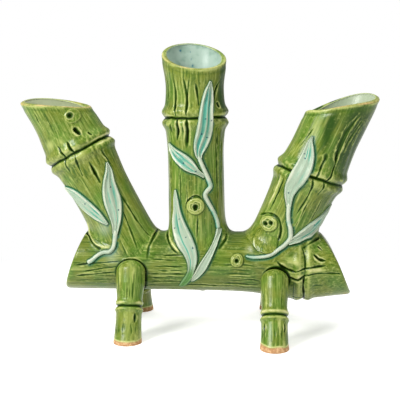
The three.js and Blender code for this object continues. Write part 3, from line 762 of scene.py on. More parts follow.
def buildLeaf(name, leaf, seed):
    look = leafShape
    share, across, size = stripGrid(look)
    widths = [p[2] for p in leaf["path"]]
    half = np.interp(share[:, 0], np.linspace(0, 1, len(widths)), widths)[:, None]
    fromVein = across - look["swing"] * np.sin(share * 9 + seed)  # the vein wanders a little
    rim = bump(size - look["rimAt"], look["rimWidth"])
    rim = rim * (1 + 0.35 * hills(share * 16, across + 5, seed + 30))
    rib = bump(fromVein, look["ribWidth"])
    troughs = bump(size - look["troughAt"], look["troughWidth"])
    drop = dropAt(size, look["dropFrom"], look["dropLeft"])
    wear = hills(share * 14, across * 2.5 + 7, seed)
    shape = look["flat"] + look["rim"] * rim + leaf["rib"] * rib - 0.8 * leaf["trough"] * troughs
    lift = look["height"] * np.minimum(1, 0.35 + half / 3.4) * (shape + 0.05 * wear) * drop
    lift[:, [0, -1]] = -look["seat"]
    lift[[0, -1]] = -look["seat"]
    points, line = layStrip(leaf, across, lift)
    # Turquoise runs into the troughs and along the vein, cream stays on the rim
    wide = np.minimum(1, half / look["fullHalf"])
    run = hills(share * 7, across * 1.5 + 3, seed + 50)
    streak = hills(share * 3, across * 6 + 11, seed + 70)
    vein = bump(fromVein - look["veinBeside"], look["veinWidth"]) * np.clip(1 + 0.8 * run, 0, 1.4)
    vein = 0.9 * leaf.get("vein", 0.4) * vein
    wash = leaf["tint"] * (0.8 * troughs + 0.3 * (1 - size) + 0.6 * streak) * wide * (1 + 0.6 * run)
    thin = 0.75 * rim + 0.3 * rib + 0.4 * np.clip(run, 0, 1) - 0.3 * np.clip(streak, 0, 1)
    # Teal round the edge: glaze gathered against the bamboo, made stronger on one side as painted shade
    beside = np.sign(across) * np.gradient(line[:, 1])[:, None]
    speck = np.zeros(across.shape)
    for x, z in leaf["specks"]:
        gap = np.hypot(points[..., 0] - x, points[..., 2] - z)
        speck = np.maximum(speck, gap < look["speck"])
    layers = {
        "pool": vein + wash, "edge": thin * drop + 0.25 * (1 - wide),
        "teal": fadeIn(size, 0.9, 1) * np.where(beside > 0, 0.9, 0.35), "speck": speck,
        "green": leaf.get("green", 0) * fadeIn(share, *look["greenFrom"]) * (1 - 0.35 * size),
    }
    piece = makeMesh(name, points, layers, leafMaterial)
    outlines.extend((p, 1.0, 1.0, -0.25) for p in np.concatenate([points[:, 1], points[:, -2]]))
    settle(piece, name)


for index, (name, leaf) in enumerate(leaves.items()):
    buildLeaf(name, leaf, index + 11)
print("leaves laid")

# Stems: rolls of clay laid along a path of [across, up, radius], made by a node tree from its curve
stemShape = {"sides": 18, "spacing": 0.6, "wobble": 0.22, "wobbleSize": 4, "roundEnd": 1.8}
stems = {
    "left_stem": [
        [-62.1, 83, 1.3], [-62.4, 78.6, 1.9], [-62.9, 73.5, 1.8], [-63.9, 68.6, 1.7], [-67, 65.2, 1.7],
        [-71.8, 64.5, 1.6], [-76.4, 62.2, 1.6], [-80.8, 58.5, 1.7], [-84.6, 56.4, 2],
    ],
    "centre_stem": [
        [3.2, 141.5, 1.1], [3.7, 138, 1.7], [5.2, 134, 1.7], [7.9, 127.6, 1.8], [10.6, 120.8, 1.9],
        [11.5, 116.6, 1.9], [8.9, 113, 1.8], [7.7, 110.2, 1.8], [9.2, 106, 1.7], [12.2, 100.2, 1.7],
        [14.6, 95, 1.7], [16.4, 89.6, 1.8], [17.5, 82.8, 1.9],
    ],
    "right_stem": [
        [72.3, 105.5, 1.2], [72.3, 101.4, 1.8], [71.9, 96.6, 1.7], [72.3, 90.4, 1.7], [73.8, 84, 1.8],
        [73.4, 77.6, 1.8], [69.6, 72.6, 1.7], [64.4, 68.6, 1.6], [59, 64.8, 1.5], [51.8, 63, 1.4],
        [44.6, 62.4, 1.2], [39.4, 63.2, 0.7],
    ],
}


def newTree(name, inputs):
    tree = bpy.data.node_groups.new(name, "GeometryNodeTree")
    tree.interface.new_socket("Geometry", in_out="OUTPUT", socket_type="NodeSocketGeometry")
    for label, kind in inputs:
        tree.interface.new_socket(label, in_out="INPUT", socket_type="NodeSocket" + kind)
    return tree, tree.nodes.new("NodeGroupInput").outputs


def runTree(source, tree, values):
    # Runs a node tree on a helper object, returns the result as a plain mesh and clears the helper
    modifier = source.modifiers.new(tree.name, "NODES")
    modifier.node_group = tree
    for item in tree.interface.items_tree:
        if item.item_type == "SOCKET" and item.in_out == "INPUT" and item.name in values:
            modifier[item.identifier] = values[item.name]
    graph = bpy.context.evaluated_depsgraph_get()
    mesh = bpy.data.meshes.new_from_object(source.evaluated_get(graph))
    source.modifiers.remove(modifier)
    bpy.data.objects.remove(source)
    return mesh


def stemTree():
    inputs = [("Curve", "Geometry"), ("Spacing", "Float"), ("Sides", "Int"), ("Wobble", "Float"),
              ("Wobble Scale", "Float"), ("Glaze", "Material")]
    tree, given = newTree("rolled_clay_stem", inputs)
    line = addNode(tree, "GeometryNodeResampleCurve", {"mode": "LENGTH"},
                   {"Curve": given["Curve"], "Length": given["Spacing"]})
    section = addNode(tree, "GeometryNodeCurvePrimitiveCircle", {},
                      {"Resolution": given["Sides"], "Radius": 1.0})
    radius = addNode(tree, "GeometryNodeInputRadius")
    roll = addNode(tree, "GeometryNodeCurveToMesh", {},
                   {"Curve": line.outputs[0], "Profile Curve": section.outputs[0], "Scale": radius.outputs[0],
                    "Fill Caps": True})
    place = addNode(tree, "GeometryNodeInputPosition")
    noise = addNode(tree, "ShaderNodeTexNoise", {},
                    {"Vector": place.outputs[0], "Scale": given["Wobble Scale"], "Detail": 1.0})
    centred = addNode(tree, "ShaderNodeMath", {"operation": "SUBTRACT"}, {0: noise.outputs[0], 1: 0.5})
    amount = addNode(tree, "ShaderNodeMath", {"operation": "MULTIPLY"},
                     {0: centred.outputs[0], 1: given["Wobble"]})
    normal = addNode(tree, "GeometryNodeInputNormal")
    offset = addNode(tree, "ShaderNodeVectorMath", {"operation": "SCALE"},
                     {0: normal.outputs[0], "Scale": amount.outputs[0]})
    worked = addNode(tree, "GeometryNodeSetPosition", {},
                     {"Geometry": roll.outputs[0], "Offset": offset.outputs[0]})
    real = addNode(tree, "GeometryNodeRealizeInstances", {}, {"Geometry": worked.outputs[0]})
    painted = addNode(tree, "GeometryNodeSetMaterial", {},
                      {"Geometry": real.outputs[0], "Material": given["Glaze"]})
    addNode(tree, "NodeGroupOutput", {}, {0: painted.outputs[0]})
    return tree


def buildStem(name, path, tree):
    line = splinePath(path, 10)
    centre = layFromFront(line[:, 0], line[:, 1], np.full(len(line), 0.1))
    walked = np.concatenate([[0], np.cumsum(np.linalg.norm(np.diff(line[:, :2], axis=0), axis=1))])
    toEnd = fadeIn(np.minimum(walked, walked[-1] - walked), 0, stemShape["roundEnd"])
    radius = line[:, 2] * (0.12 + 0.88 * np.sqrt(1 - (1 - toEnd) ** 2))
    curve = bpy.data.curves.new(name, "CURVE")
    curve.dimensions = "3D"
    spline = curve.splines.new("POLY")
    spline.points.add(len(centre) - 1)
    places = np.column_stack([(centre + zeroShift) * mm, np.ones(len(centre))])
    spline.points.foreach_set("co", places.ravel())
    spline.points.foreach_set("radius", radius * mm)
    mesh = runTree(addObject(name + "_path", curve), tree, {
        "Spacing": stemShape["spacing"] * mm, "Sides": stemShape["sides"], "Wobble": stemShape["wobble"] * mm,
        "Wobble Scale": 1 / (stemShape["wobbleSize"] * mm), "Glaze": leafMaterial,
    })
    points = meshPoints(mesh)
    height = bambooDistance(points)
    top = fadeIn(height, 0.5, 1.6)
    wash = hills(points[:, 0] / 6, points[:, 2] / 6, 31)
    # Cream on the crest, and turquoise glaze pooled round the foot, deepened there as painted shade
    piece = finishMesh(name, mesh, {
        "pool": 0.6 - 0.25 * top + 0.4 * wash, "edge": 0.75 * top * (1 + 0.5 * wash),
        "teal": 0.8 * fadeIn(height, 0.9, 0.2), "speck": 0 * top, "green": 0 * top,
    })
    foot = points[(height > -0.6) & (height < 0.5)][::3]
    outlines.extend((p, 1.2, 0.9, -0.25) for p in foot)
    settle(piece, name)


tree = stemTree()
for name, path in stems.items():
    buildStem(name, path, tree)
print("stems rolled")

# Branch scars: round bosses with pits of (across, up, width, depth), and the stub of a cut branch
knotShape = {
    "seat": 1.6, "rings": 40, "sides": 84, "ridgeAt": 0.58, "ridgeWidth": 0.07, "scallops": 6,
    "scallop": 0.035, "grooveInside": 0.16, "pitRim": 1.7, "pitRimHeight": 0.3, "pitFloor": 0.08,
}
knots = {
    "knot_left": {
        "at": (-95, 170.8), "radius": 6.6, "squash": 1.15, "turn": 35, "height": 0.7, "ridges": 0.05,
        "outline": 0, "cream": 0, "pits": [(-1.4, 1.3, 1.5, 0.6)],
    },
    "knot_centre": {
        "at": (0.4, 101.6), "radius": 6.8, "squash": 1, "turn": 0, "height": 1.8, "ridges": 0.25,
        "outline": 0.9, "cream": 0.16, "pits": [(0.1, -0.4, 1.35, 1.6), (0, -1.9, 1, 1.2)],
    },
    "knot_right": {
        "at": (57.6, 88), "radius": 6.6, "squash": 1.1, "turn": 20, "height": 1.8, "ridges": 0.3,
        "outline": 1.0, "cream": 0.16, "pits": [(-2.1, 0.6, 1.1, 1.1), (2, 0.1, 1.1, 1.2)],
    },
    "knot_log": {
        "at": (32.9, 59.6), "radius": 5.2, "squash": 1, "turn": 0, "height": 1.8, "ridges": 0.25,
        "outline": 0.7, "cream": 0.05, "pits": [(-0.3, -0.2, 1.1, 1.4)],
    },
}
stub = {
    "path": [
        [57.2, 80.4, 7.5], [56, 77.6, 8.6], [54.6, 74, 9.3], [53.4, 71, 9.2], [52.5, 68.8, 7.8],
        [51.9, 67.2, 5.2], [51.6, 66.4, 2.2],
    ],
    "height": 1.8, "seat": 1.6, "stepsAlong": 60, "stepsAcross": 44,
    "cutFace": (0.35, 0.65), "rimAt": 0.86, "rimWidth": 0.09, "endRimAt": 0.95, "endRimWidth": 0.045,
    "seamAt": 0.1, "seamWidth": 0.04, "seamDepth": 0.15,
}


def greenLayers(points, **given):
    # What the green glaze reads, with nothing where a layer isn't given
    names = ("pool", "edge", "teal", "pale", "tone", "speck", "bare")
    return {"grain": points, **{name: np.zeros(points.shape[:-1]) for name in names}, **given}


def buildKnot(name, knot, seed):
    look = knotShape
    angle = roundAngles(look["sides"])[None, :]
    share = np.linspace(1, 0.02, look["rings"])[:, None] * np.ones(angle.shape)
    lump = hillsRound(angle, 6, 0 * share, seed)
    reach = knot["radius"] * share * (1 + 0.05 * lump)
    across, up = reach * np.cos(angle), reach * np.sin(angle) / knot["squash"]
    tall = knot["height"] * (1 - 0.28 * bump(share, 0.45)) * dropAt(share, 0.7)
    # A scalloped ridge with a groove inside it
    scallop = look["ridgeAt"] + look["scallop"] * np.cos(look["scallops"] * angle + seed) + 0.08 * lump
    ridge = bump(share - scallop, look["ridgeWidth"])
    fromGroove = share - scallop + look["grooveInside"]
    glazed = min(1, 3 * knot["ridges"])
    lift = tall + knot["ridges"] * (ridge - 0.5 * bump(fromGroove, 0.08))
    pool = 0.3 * glazed * bump(fromGroove, look["ridgeWidth"])
    edge = 0.7 * glazed * ridge + 0.35 * bump(share - 0.84, 0.1) + knot["cream"]
    for x, y, size, deep in knot["pits"]:
        gap = np.hypot(across - x, up - y)
        fromRim = gap - look["pitRim"] * size
        lift = np.maximum(lift - deep * bump(gap, size), look["pitFloor"])
        lift = lift + look["pitRimHeight"] * bump(fromRim, 0.45 * size)
        pool = np.maximum(pool, 1.5 * bump(gap, size) ** 0.7)
        edge = np.maximum(edge, 0.9 * bump(fromRim, 0.5 * size))
    lift[0] = -look["seat"]
    c, s = math.cos(math.radians(knot["turn"])), math.sin(math.radians(knot["turn"]))
    points = layFromFront(knot["at"][0] + across * c - up * s, knot["at"][1] + across * s + up * c, lift)
    layers = greenLayers(points, pool=pool, edge=edge, tone=np.full(pool.shape, -knot["cream"]))
    piece = makeMesh(name, points, layers, greenMaterial)
    outlines.extend((p, 0.1, knot["outline"], 0.3) for p in points[1])
    settle(piece, name)


def buildStub():
    share, across, size = stripGrid(stub)
    lower = fadeIn(share, *stub["cutFace"])
    sideRim = bump(size - stub["rimAt"], stub["rimWidth"])
    rim = np.maximum(sideRim, bump(share - stub["endRimAt"], stub["endRimWidth"])) * lower
    drop = dropAt(size, stub["rimAt"]) * dropAt(share, stub["endRimAt"])
    seam = bump(across - stub["seamAt"], stub["seamWidth"])
    crown = (0.72 + 0.3 * bump(across, 0.6)) * (0.35 + 0.65 * lower)
    lift = (stub["height"] * (crown + 0.3 * rim) - stub["seamDepth"] * seam) * drop
    lift[:, [0, -1]] = -stub["seat"]
    lift[[0, -1]] = -stub["seat"]
    points, _ = layStrip(stub, across, lift)
    # The oval cut face has a pale crescent at its right side
    lime = rim * drop * fadeIn(across, -0.75, -0.25)
    layers = greenLayers(points, pool=0.25 * seam, edge=1.9 * lime, pale=0.8 * lime ** 2,
                         tone=np.full(lime.shape, 0.1))
    piece = makeMesh("branch_stub", points, layers, greenMaterial)
    outlines.extend((p, 0.1, 0.55, -0.2) for p in np.concatenate([points[:, 1], points[:, -2]]))
    settle(piece, "branch_stub")


for index, (name, knot) in enumerate(knots.items()):
    buildKnot(name, knot, index + 71)
buildStub()
print("knots and stub laid")

# Where the relief touches the bamboo, for the glaze that gathers there and the painted shade beside it
reliefFoot = KDTree(len(outlines))
for index, (point, *_) in enumerate(outlines):
    reliefFoot.insert(Vector(point), index)
reliefFoot.balance()
creepAndShade = {"reach": 6, "dark": 0.95, "teal": 1.9, "darkest": 1.3, "strongest": 0.85}


def nearRelief(points):
    # Dark glaze and teal gathered beside the relief, with painted shade that makes them stronger on the side
    # away from the light
    flat = points.reshape(-1, 3)
    pool, teal = np.zeros(len(flat)), np.zeros(len(flat))
    for i in np.nonzero(flat[:, 1] < 2)[0]:
        spot, index, gap = reliefFoot.find(Vector(flat[i]))
        if gap > creepAndShade["reach"]:
            continue
        _, tealShare, darkShare, rise = outlines[index]
        right, up = ((flat[i][k] - spot[k]) / max(gap, 0.5) for k in (0, 2))
        # Painted shade: stronger to the right, and above or below as the outline's rise says
        shaded = max(0.15, min(1, 0.66 + 0.38 * right + rise * up))
        pool[i] = creepAndShade["darkest"] * darkShare * shaded * math.exp(-(gap / creepAndShade["dark"]) ** 2)
        teal[i] = creepAndShade["strongest"] * tealShare * shaded * math.exp(-(gap / creepAndShade["teal"]) ** 2)
    return pool.reshape(points.shape[:-1]), teal.reshape(points.shape[:-1])


# Fibres, hills and random cracks of the bamboo skin
skinLook = {
    "hill": 0.3, "hillPitch": 11, "hillLength": 22, "fibre": 0.2, "fibrePitch": 3.6, "fibreLength": 34,
    "fineFibre": 0.13, "finePitch": 1.8, "fineLength": 17, "drift": 0.8, "driftLength": 30,
}


def grow(skin, girth, seed, fade):
    # Adds the hand-worked unevenness that runs with the grain; a runs round and b along
    look = skinLook
    turns = skin["a"] / girth + 0.5
    count = {key: round(girth / look[key + "Pitch"]) for key in ("hill", "fibre", "fine")}
    wide = hills(turns * count["hill"], skin["b"] / look["hillLength"], seed, count["hill"])
    drift = look["drift"] * hills(turns * 9, skin["b"] / look["driftLength"], seed + 3, 9)
    fibre = hills(turns * count["fibre"] + drift, skin["b"] / look["fibreLength"], seed + 1, count["fibre"])
    thread = hills(turns * count["fine"] + drift, skin["b"] / look["fineLength"], seed + 2, count["fine"])
    skin["lift"] += fade * (look["hill"] * wide + look["fibre"] * fibre + look["fineFibre"] * thread)
    gather(skin, "edge", 0.25 * fade * (np.clip(fibre - 0.45, 0, 1) + np.clip(wide - 0.3, 0, 1)))
    return wide


# Ranges of the cracks with the grain where the photograph doesn't reach
backCrack = {"count": 16, "angle": (100, 260), "length": (14, 42), "stray": 2, "wide": (0.5, 0.8),
             "deep": (0.5, 1), "above": 10, "belowLip": 30}


def backCracks(length, seed):
    chance = np.random.default_rng(seed)
    look, cracks = backCrack, []
    for _ in range(look["count"]):
        angle = chance.uniform(*look["angle"])
        start = chance.uniform(look["above"], length - look["belowLip"])
        run = chance.uniform(*look["length"])
        path = [[(angle + chance.normal(0, look["stray"]) + 180) % 360 - 180, start + run * t]
                for t in (0, 0.35, 0.7, 1)]
        crack = {"path": path, **{key: chance.uniform(*look[key]) for key in ("wide", "deep")}}
        if np.ptp([p[0] for p in path]) < 90:  # one that crosses the seam at the back is left out
            cracks.append(crack)
    return cracks


# Creases and slip rims where the culms are seated. Paths are [across, up] as seen from the front.
seatMarks = [
    {"path": [[-86.8, 87.4], [-85.2, 77.4], [-81, 72.2], [-76.5, 69.1], [-71.4, 68.3], [-65.6, 68.4]],
     "wide": 0.9, "deep": -0.7, "dark": 0, "crest": 0.95, "taper": 3},
    {"path": [[-88.7, 77.9], [-85.8, 76], [-83.3, 73.1], [-79.4, 69.4], [-74, 66.8]], "wide": 0.8,
     "deep": (1.3, 0.4), "dark": (1.3, 0.5), "taper": 1},
    {"path": [[-31.2, 80], [-32.4, 77.3], [-34.6, 72.9], [-36.3, 68], [-37.2, 60]], "wide": 0.9,
     "deep": (1.2, 0.2), "dark": (1.1, 0.35), "taper": 1, "rim": 0.1},
    {"path": [[-21.3, 82], [-21.3, 78.2], [-19.6, 73.6], [-16.2, 69], [-12.1, 65.6]], "wide": 0.9,
     "deep": -0.6, "dark": 0, "crest": (0.4, 1.2), "taper": 2},
    {"path": [[-22.8, 80], [-22.7, 77.5], [-21.2, 73], [-17.6, 67.6], [-12.9, 64.2]], "wide": 0.8,
     "deep": (0.9, 0.7), "dark": (1, 0.8), "taper": 2, "rim": 0.1},
    {"path": [[24.8, 79], [23.8, 75.1], [20.9, 71.3], [18.3, 67.9]], "wide": 0.9, "deep": (1.2, 0.4),
     "dark": (1.1, 0.5), "taper": 1, "rim": 0.1},
    {"path": [[50, 93], [52.5, 94.6], [56.6, 96], [61.7, 94.8], [65.2, 91], [66.4, 84.5],
              [65.9, 80.3], [64.4, 75]],
     "wide": 0.8, "deep": (0.7, 1), "dark": (0.6, 1), "taper": 3, "rim": 0.1},
    {"path": [[97, 76.2], [94.6, 75.5], [91.6, 74.3], [88.3, 72.9], [83.6, 69.7]], "wide": 0.9,
     "deep": (1.4, 0.5), "dark": (1.3, 0.7), "taper": 1, "rim": 0.1},
]
# Thin tin glaze that ran off the leaves: across, up, reach and strength
paleWashes = [(-71.3, 82.6, 5, 0.35), (-65.4, 62.4, 6, 0.3)]

# Culms. Places are [degrees round from the front, distance up the axis]. tone holds a place, its
# reach both ways and how much darker it is; the broad dark patches on the right sides of the centre
# and right culms, away from the key light, are painted shade. worn and thickRim hold where on the
# rim, how far and how much, and blue the specks in the mouth with their size.
culmMesh = {"sides": 262, "rows": 228, "innerRows": 84, "sunk": 3}
# Rows over the lip, by the quarter turn done or the share of its flat top, with their cream
lipOutside = [(22.5, 0.7), (45, 0.95), (67.5, 0.75), (90, 0.5)]
lipTop = [(0.35, 0.4), (0.65, 0.4)]
lipInside = [(90, 0.2), (67.5, 0.5), (45, 0.7), (22.5, 0.5), (0, 0.3)]
# The groove cut at the node, with chips out of the beads beside it
nodeCut = {"deep": 0.9, "tornDeep": 0.3, "width": 0.75, "chips": 0.28, "chipsAt": 3.4, "chipsWidth": 2.4}
# The hollow under the lip, how wide its dark glaze and painted shade are, and how the wall is drawn in
# towards the lip
lipHollow = {"at": 4.6, "deep": 0.2, "width": 1.6, "darkWidth": 1.1, "draw": 0.25, "drawWidth": 6}
culms = {
    "left": {
        "marks": [
            {"path": [[-19.1, 111], [-16.4, 105.3], [-14.9, 100.8], [-18.9, 95.9], [-21.1, 92], [-24, 85]],
             "wide": 1, "deep": (1.5, 0.4), "dark": (1.2, 0.5), "cream": 0.5},
            {"path": [[0.1, 110], [0.3, 104.2], [2.4, 99.6], [-0.5, 94.4], [-3.4, 88.7], [-6, 80]],
             "wide": 0.65, "deep": (1.2, 0.5), "dark": (1.1, 0.6), "cream": 0.5, "taper": 2},
            {"path": [[17, 88.5], [17, 79.6], [17, 69.4]], "wide": 1.15, "deep": (2, 1.2), "dark": 1.2,
             "taper": 9},
            {"path": [[41, 93], [45, 87], [50, 81]], "wide": 0.7, "deep": -0.6, "dark": 0, "crest": 0.9},
            {"path": [[46, 92], [50, 85], [54, 78]], "wide": 0.6, "deep": 0.7, "dark": 0.8},
            {"path": [[-55, 86.8], [-60, 79.1], [-62, 71]], "wide": 0.7, "deep": 0.6},
            {"path": [[42, 56], [46, 33.4], [54, 11.9]], "wide": 0.7, "deep": 0.45, "dark": 0.6},
            {"path": [[31, 49], [25, 27.6], [18, 11]], "wide": 0.7, "deep": 0.45, "dark": 0.6},
            {"path": [[-3, 24], [-4, 9.6]], "wide": 0.6, "deep": 0.4},
            {"path": [[-33, 142], [-37, 131]], "wide": 0.5, "deep": 0.35, "dark": 0.5},
            {"path": [[-13, 140], [-14, 120.3]], "wide": 0.5, "deep": 0.3, "dark": 0.4},
            {"path": [[22, 117], [24, 113.1], [27, 109.4]], "wide": 1.25, "deep": 2.2, "dark": 1.4,
             "taper": 2, "rim": 0.4, "cream": 0.7},
            {"path": [[41, 108.4], [42, 106.4]], "wide": 0.9, "deep": 0.9, "dark": 0.7, "taper": 0},
        ],
        "ringDark": 1.25, "lipShadeAndGlaze": 0.25, "bore": -0.75, "worn": (20, 150, 0.8), "thickRim": (180, 60, 0.3),
        "tone": [([-34, 114], 12, 4, -0.8), ([-9, 112], 9, 4, -0.7), ([-36, 99], 12, 4, -0.6),
                 ([10, 97], 9, 4, -0.8)],
        "blue": [], "seed": 101,
    },
    "centre": {
        "marks": [
            {"path": [[-64, 150], [-59, 139], [-60, 124]], "wide": 0.8, "deep": 0.5, "dark": (0.4, 0.7)},
            {"path": [[-38, 148], [-34.8, 136], [-34.8, 125], [-31, 119], [-32, 116]], "deep": (0.2, 1.2),
             "dark": (0.35, 1.1)},
            {"path": [[-17, 148], [-11, 134], [-10.7, 122], [-12, 115]], "deep": (0.3, 1.3),
             "dark": (0.4, 1.2)},
            {"path": [[-3.8, 147.6], [-7.9, 137], [-10, 128]], "wide": 0.6, "deep": 0.4, "dark": 0.5},
            {"path": [[6, 142], [9.2, 133.7], [11.3, 124]], "wide": 0.7, "deep": (0.5, 1.1),
             "dark": (0.7, 1.1)},
            {"path": [[56, 143], [46.4, 134.5], [41.5, 125]], "wide": 0.8, "deep": 0.9, "dark": 0.9},
            {"path": [[51.5, 125.8], [52, 123.8]], "wide": 1.1, "deep": 1.5, "dark": 1.3, "taper": 0,
             "rim": 0.6, "cream": 0.7},
            {"path": [[-30, 115.6], [-28.3, 108.3], [-35, 98]], "wide": 0.95, "deep": (1.7, 0.6),
             "dark": (1.3, 0.7)},
            {"path": [[-11, 115.6], [-10.1, 107.2], [-13, 97], [-14, 92]], "wide": 1.05, "deep": (1.9, 0.6),
             "dark": (1.35, 0.6)},
            {"path": [[-18, 112], [-20, 102]], "wide": 0.6, "deep": 0.4, "dark": 0.5},
            {"path": [[-41.5, 111.6], [-49, 103.8]], "wide": 0.9, "deep": 0.6, "dark": 0.8},
            {"path": [[6, 40], [3, 22]], "wide": 0.5, "deep": 0.5, "dark": 0.6},
            {"path": [[-60, 84], [-61, 62], [-58, 39]], "wide": 0.5, "deep": 0.35, "dark": 0.5},
            {"path": [[-30, 74], [-30, 46]], "wide": 0.5, "deep": 0.35, "dark": 0.5},
            {"path": [[-15, 62], [-15, 41]], "wide": 0.5, "deep": 0.35, "dark": 0.5},
            {"path": [[52, 104], [51, 78], [51, 48]], "wide": 0.7, "deep": 0.5, "dark": 0.5},
            {"path": [[46, 111], [48, 92], [48, 76]], "wide": 0.6, "deep": 0.4, "dark": 0.5},
            {"path": [[66, 100], [68, 76], [66, 44]], "wide": 0.6, "deep": 0.4},
            {"path": [[-19, 45], [-16, 50], [-5, 54.6], [8, 55], [18, 51]], "wide": 0.8, "deep": 0.9},
        ],
        "ringDark": 1.3, "lipShadeAndGlaze": 0.08, "bore": 0.1, "worn": (-25, 60, 0.5), "thickRim": (180, 60, 0.3),
        # The two tone patches on the right side are painted shade
        "tone": [([75, 60], 30, 90, 0.45), ([66, 132], 22, 26, 0.7), ([-68, 130], 16, 30, 0.4)],
        "blue": [(-145, 168, 1), (-168, 167, 0.5), (-169, 161, 0.6), (-172, 156, 0.9), (120, 165, 0.5)],
        "seed": 102,
    },
    "right": {
        "marks": [
            {"path": [[7, 97], [6, 87.2], [6, 77]], "wide": 0.7, "deep": (0.4, 1.2), "dark": (0.5, 1)},
            {"path": [[23, 104], [28, 94], [28, 86.6], [24, 77]], "wide": 0.75, "deep": (0.7, 1.3),
             "dark": (0.8, 1.1)},
            {"path": [[1, 77], [6, 70.7], [7, 60.7], [3, 46]], "wide": 0.75, "deep": (1.3, 0.3),
             "dark": (1.1, 0.5)},
            {"path": [[21, 78], [23, 73.5], [22, 65]], "wide": 0.7, "deep": (1.2, 0.3), "dark": (1.1, 0.5)},
            {"path": [[-51, 69], [-54, 54.6], [-58, 41]], "wide": 1.1, "deep": -0.8, "dark": 0, "crest": 1.0},
            {"path": [[-45, 67.5], [-47, 53.9], [-50, 38.9]], "wide": 0.6, "deep": 0.7},
            {"path": [[-37, 112], [-41, 104], [-47, 94]], "wide": 0.5, "deep": 0.5, "dark": 0.6},
            {"path": [[33, 136], [28, 130], [24, 123], [21.3, 117], [21.6, 108.9], [23.6, 101], [26, 95]],
             "wide": 1.5, "deep": (0.3, 0.8), "dark": (0.6, 1), "rim": 0.3},
            {"path": [[30, 133], [26, 121], [25.5, 110], [27, 100]], "wide": 0.5, "deep": 0.4, "dark": 0.75},
            {"path": [[18, 128], [17.5, 117], [18, 106], [20, 99]], "wide": 0.45, "deep": 0.3, "dark": 0.6},
            {"path": [[44, 134], [38, 122], [34, 111], [34, 103]], "wide": 0.7, "deep": 0.4, "dark": 0.55},
            {"path": [[52, 130], [48, 118], [46, 108]], "wide": 0.5, "deep": 0.3, "dark": 0.5},
            {"path": [[5, 98.5], [8.2, 92]], "wide": 1.2, "deep": 0.4, "dark": 0.9, "taper": 2},
            {"path": [[34, 66], [36, 54], [34, 46]], "wide": 0.5, "deep": 0.5, "dark": 0.6},
            {"path": [[12, 60], [12, 46], [10, 36]], "wide": 0.5, "deep": 0.5, "dark": 0.6},
        ],
        "ringDark": 1.25, "lipShadeAndGlaze": 0.25, "bore": -0.55, "worn": (15, 45, 1), "thickRim": (-150, 70, 1.2),
        # The tone patches at 24 and 58 degrees and the lower one at 60 are painted shade on the right side
        "tone": [([-11, 117], 11, 12, 1.2), ([-4, 104], 9, 9, 0.8), ([-37, 113], 11, 11, -0.5),
                 ([24, 114], 16, 28, 0.9), ([58, 108], 26, 36, 1), ([60, 60], 30, 40, 0.4)],
        "blue": [], "seed": 103,
    },
}


def paleAt(points):
    pale = np.zeros(points.shape[:-1])
    for x, z, reach, strength in paleWashes:
        pale = np.maximum(pale, strength * bump(np.hypot(points[..., 0] - x, points[..., 2] - z), reach))
    return pale * (points[..., 1] < 0)


def cutNode(form, look, skin, turn, along):
    # The groove of the node, with its torn beads
    torn = hillsRound(turn, 24, 0, look["seed"] + 5)
    chips = hillsRound(turn, 48, along / 2.4, look["seed"] + 9)
    fromRing = along - ringLine(form, turn) - 0.45 * torn - 0.25 * chips
    beside = np.abs(fromRing) - nodeCut["chipsAt"]
    skin["lift"] += nodeCut["chips"] * chips * bump(beside, nodeCut["chipsWidth"])
    skin["lift"] -= (nodeCut["deep"] + nodeCut["tornDeep"] * torn) * bump(fromRing, nodeCut["width"])
    gather(skin, "pool", look["ringDark"] * bump(fromRing, 0.8))
    gather(skin, "edge", bump(fromRing - 1.9, 0.7) * (0.55 + 0.6 * torn))
    gather(skin, "edge", bump(fromRing + 2.6, 1.1) * (0.25 + 0.6 * torn + 0.4 * chips))


def workLip(look, skin, turn, belowLip):
    # Below the lip a shallow hollow holds dark glaze, deepened by painted shade under the lip, and cream
    # draws off the edge
    fromHollow = belowLip - lipHollow["at"]
    skin["lift"] -= lipHollow["deep"] * bump(fromHollow, lipHollow["width"])
    skin["lift"] -= lipHollow["draw"] * bump(belowLip, lipHollow["drawWidth"])
    ragged = 0.6 + 0.4 * hillsRound(turn, 20, 0, look["seed"] + 6)
    gather(skin, "pool", look["lipShadeAndGlaze"] * ragged * bump(fromHollow, lipHollow["darkWidth"]))
    gather(skin, "edge", 0.75 * ragged * bump(belowLip - 1.2, 1.6))


def lipAndBore(form, look, angle, outer, top):
    # Rows over the lip and down the bore: radius, height, cream and pale glaze of each point
    rows = []
    for turnBy, cream in lipOutside:
        c, s = math.cos(math.radians(turnBy)), math.sin(math.radians(turnBy))
        rows.append((outer - lipRound * (1 - c), top + lipRound * s, cream, 0))
    for share, cream in lipTop:
        rows.append((outer - lipRound - share * (wall - 2 * lipRound), top + lipRound, cream, 0))
    for turnBy, cream in lipInside:
        c, s = math.cos(math.radians(turnBy)), math.sin(math.radians(turnBy))
        rows.append((outer - wall + lipRound * (1 - c), top + lipRound * s, cream, max(0, 1 - turnBy / 60)))
    bottom = joinAt(form, angle, form["radius"] - wall) - culmMesh["sunk"]
    for share in np.linspace(0, 1, culmMesh["innerRows"])[1:]:
        depth = top + (bottom - top) * share ** 2
        uneven = 0.35 * min(1, 6 * share) * hillsRound(angle, 9, depth / 14, look["seed"] + 8)
        rows.append((shaftRadius(form, depth, angle) - wall + uneven, depth, 0.2 * (1 - share), 1))
    return [np.array([np.broadcast_to(row[k], angle.shape) for row in rows]) for k in range(4)]


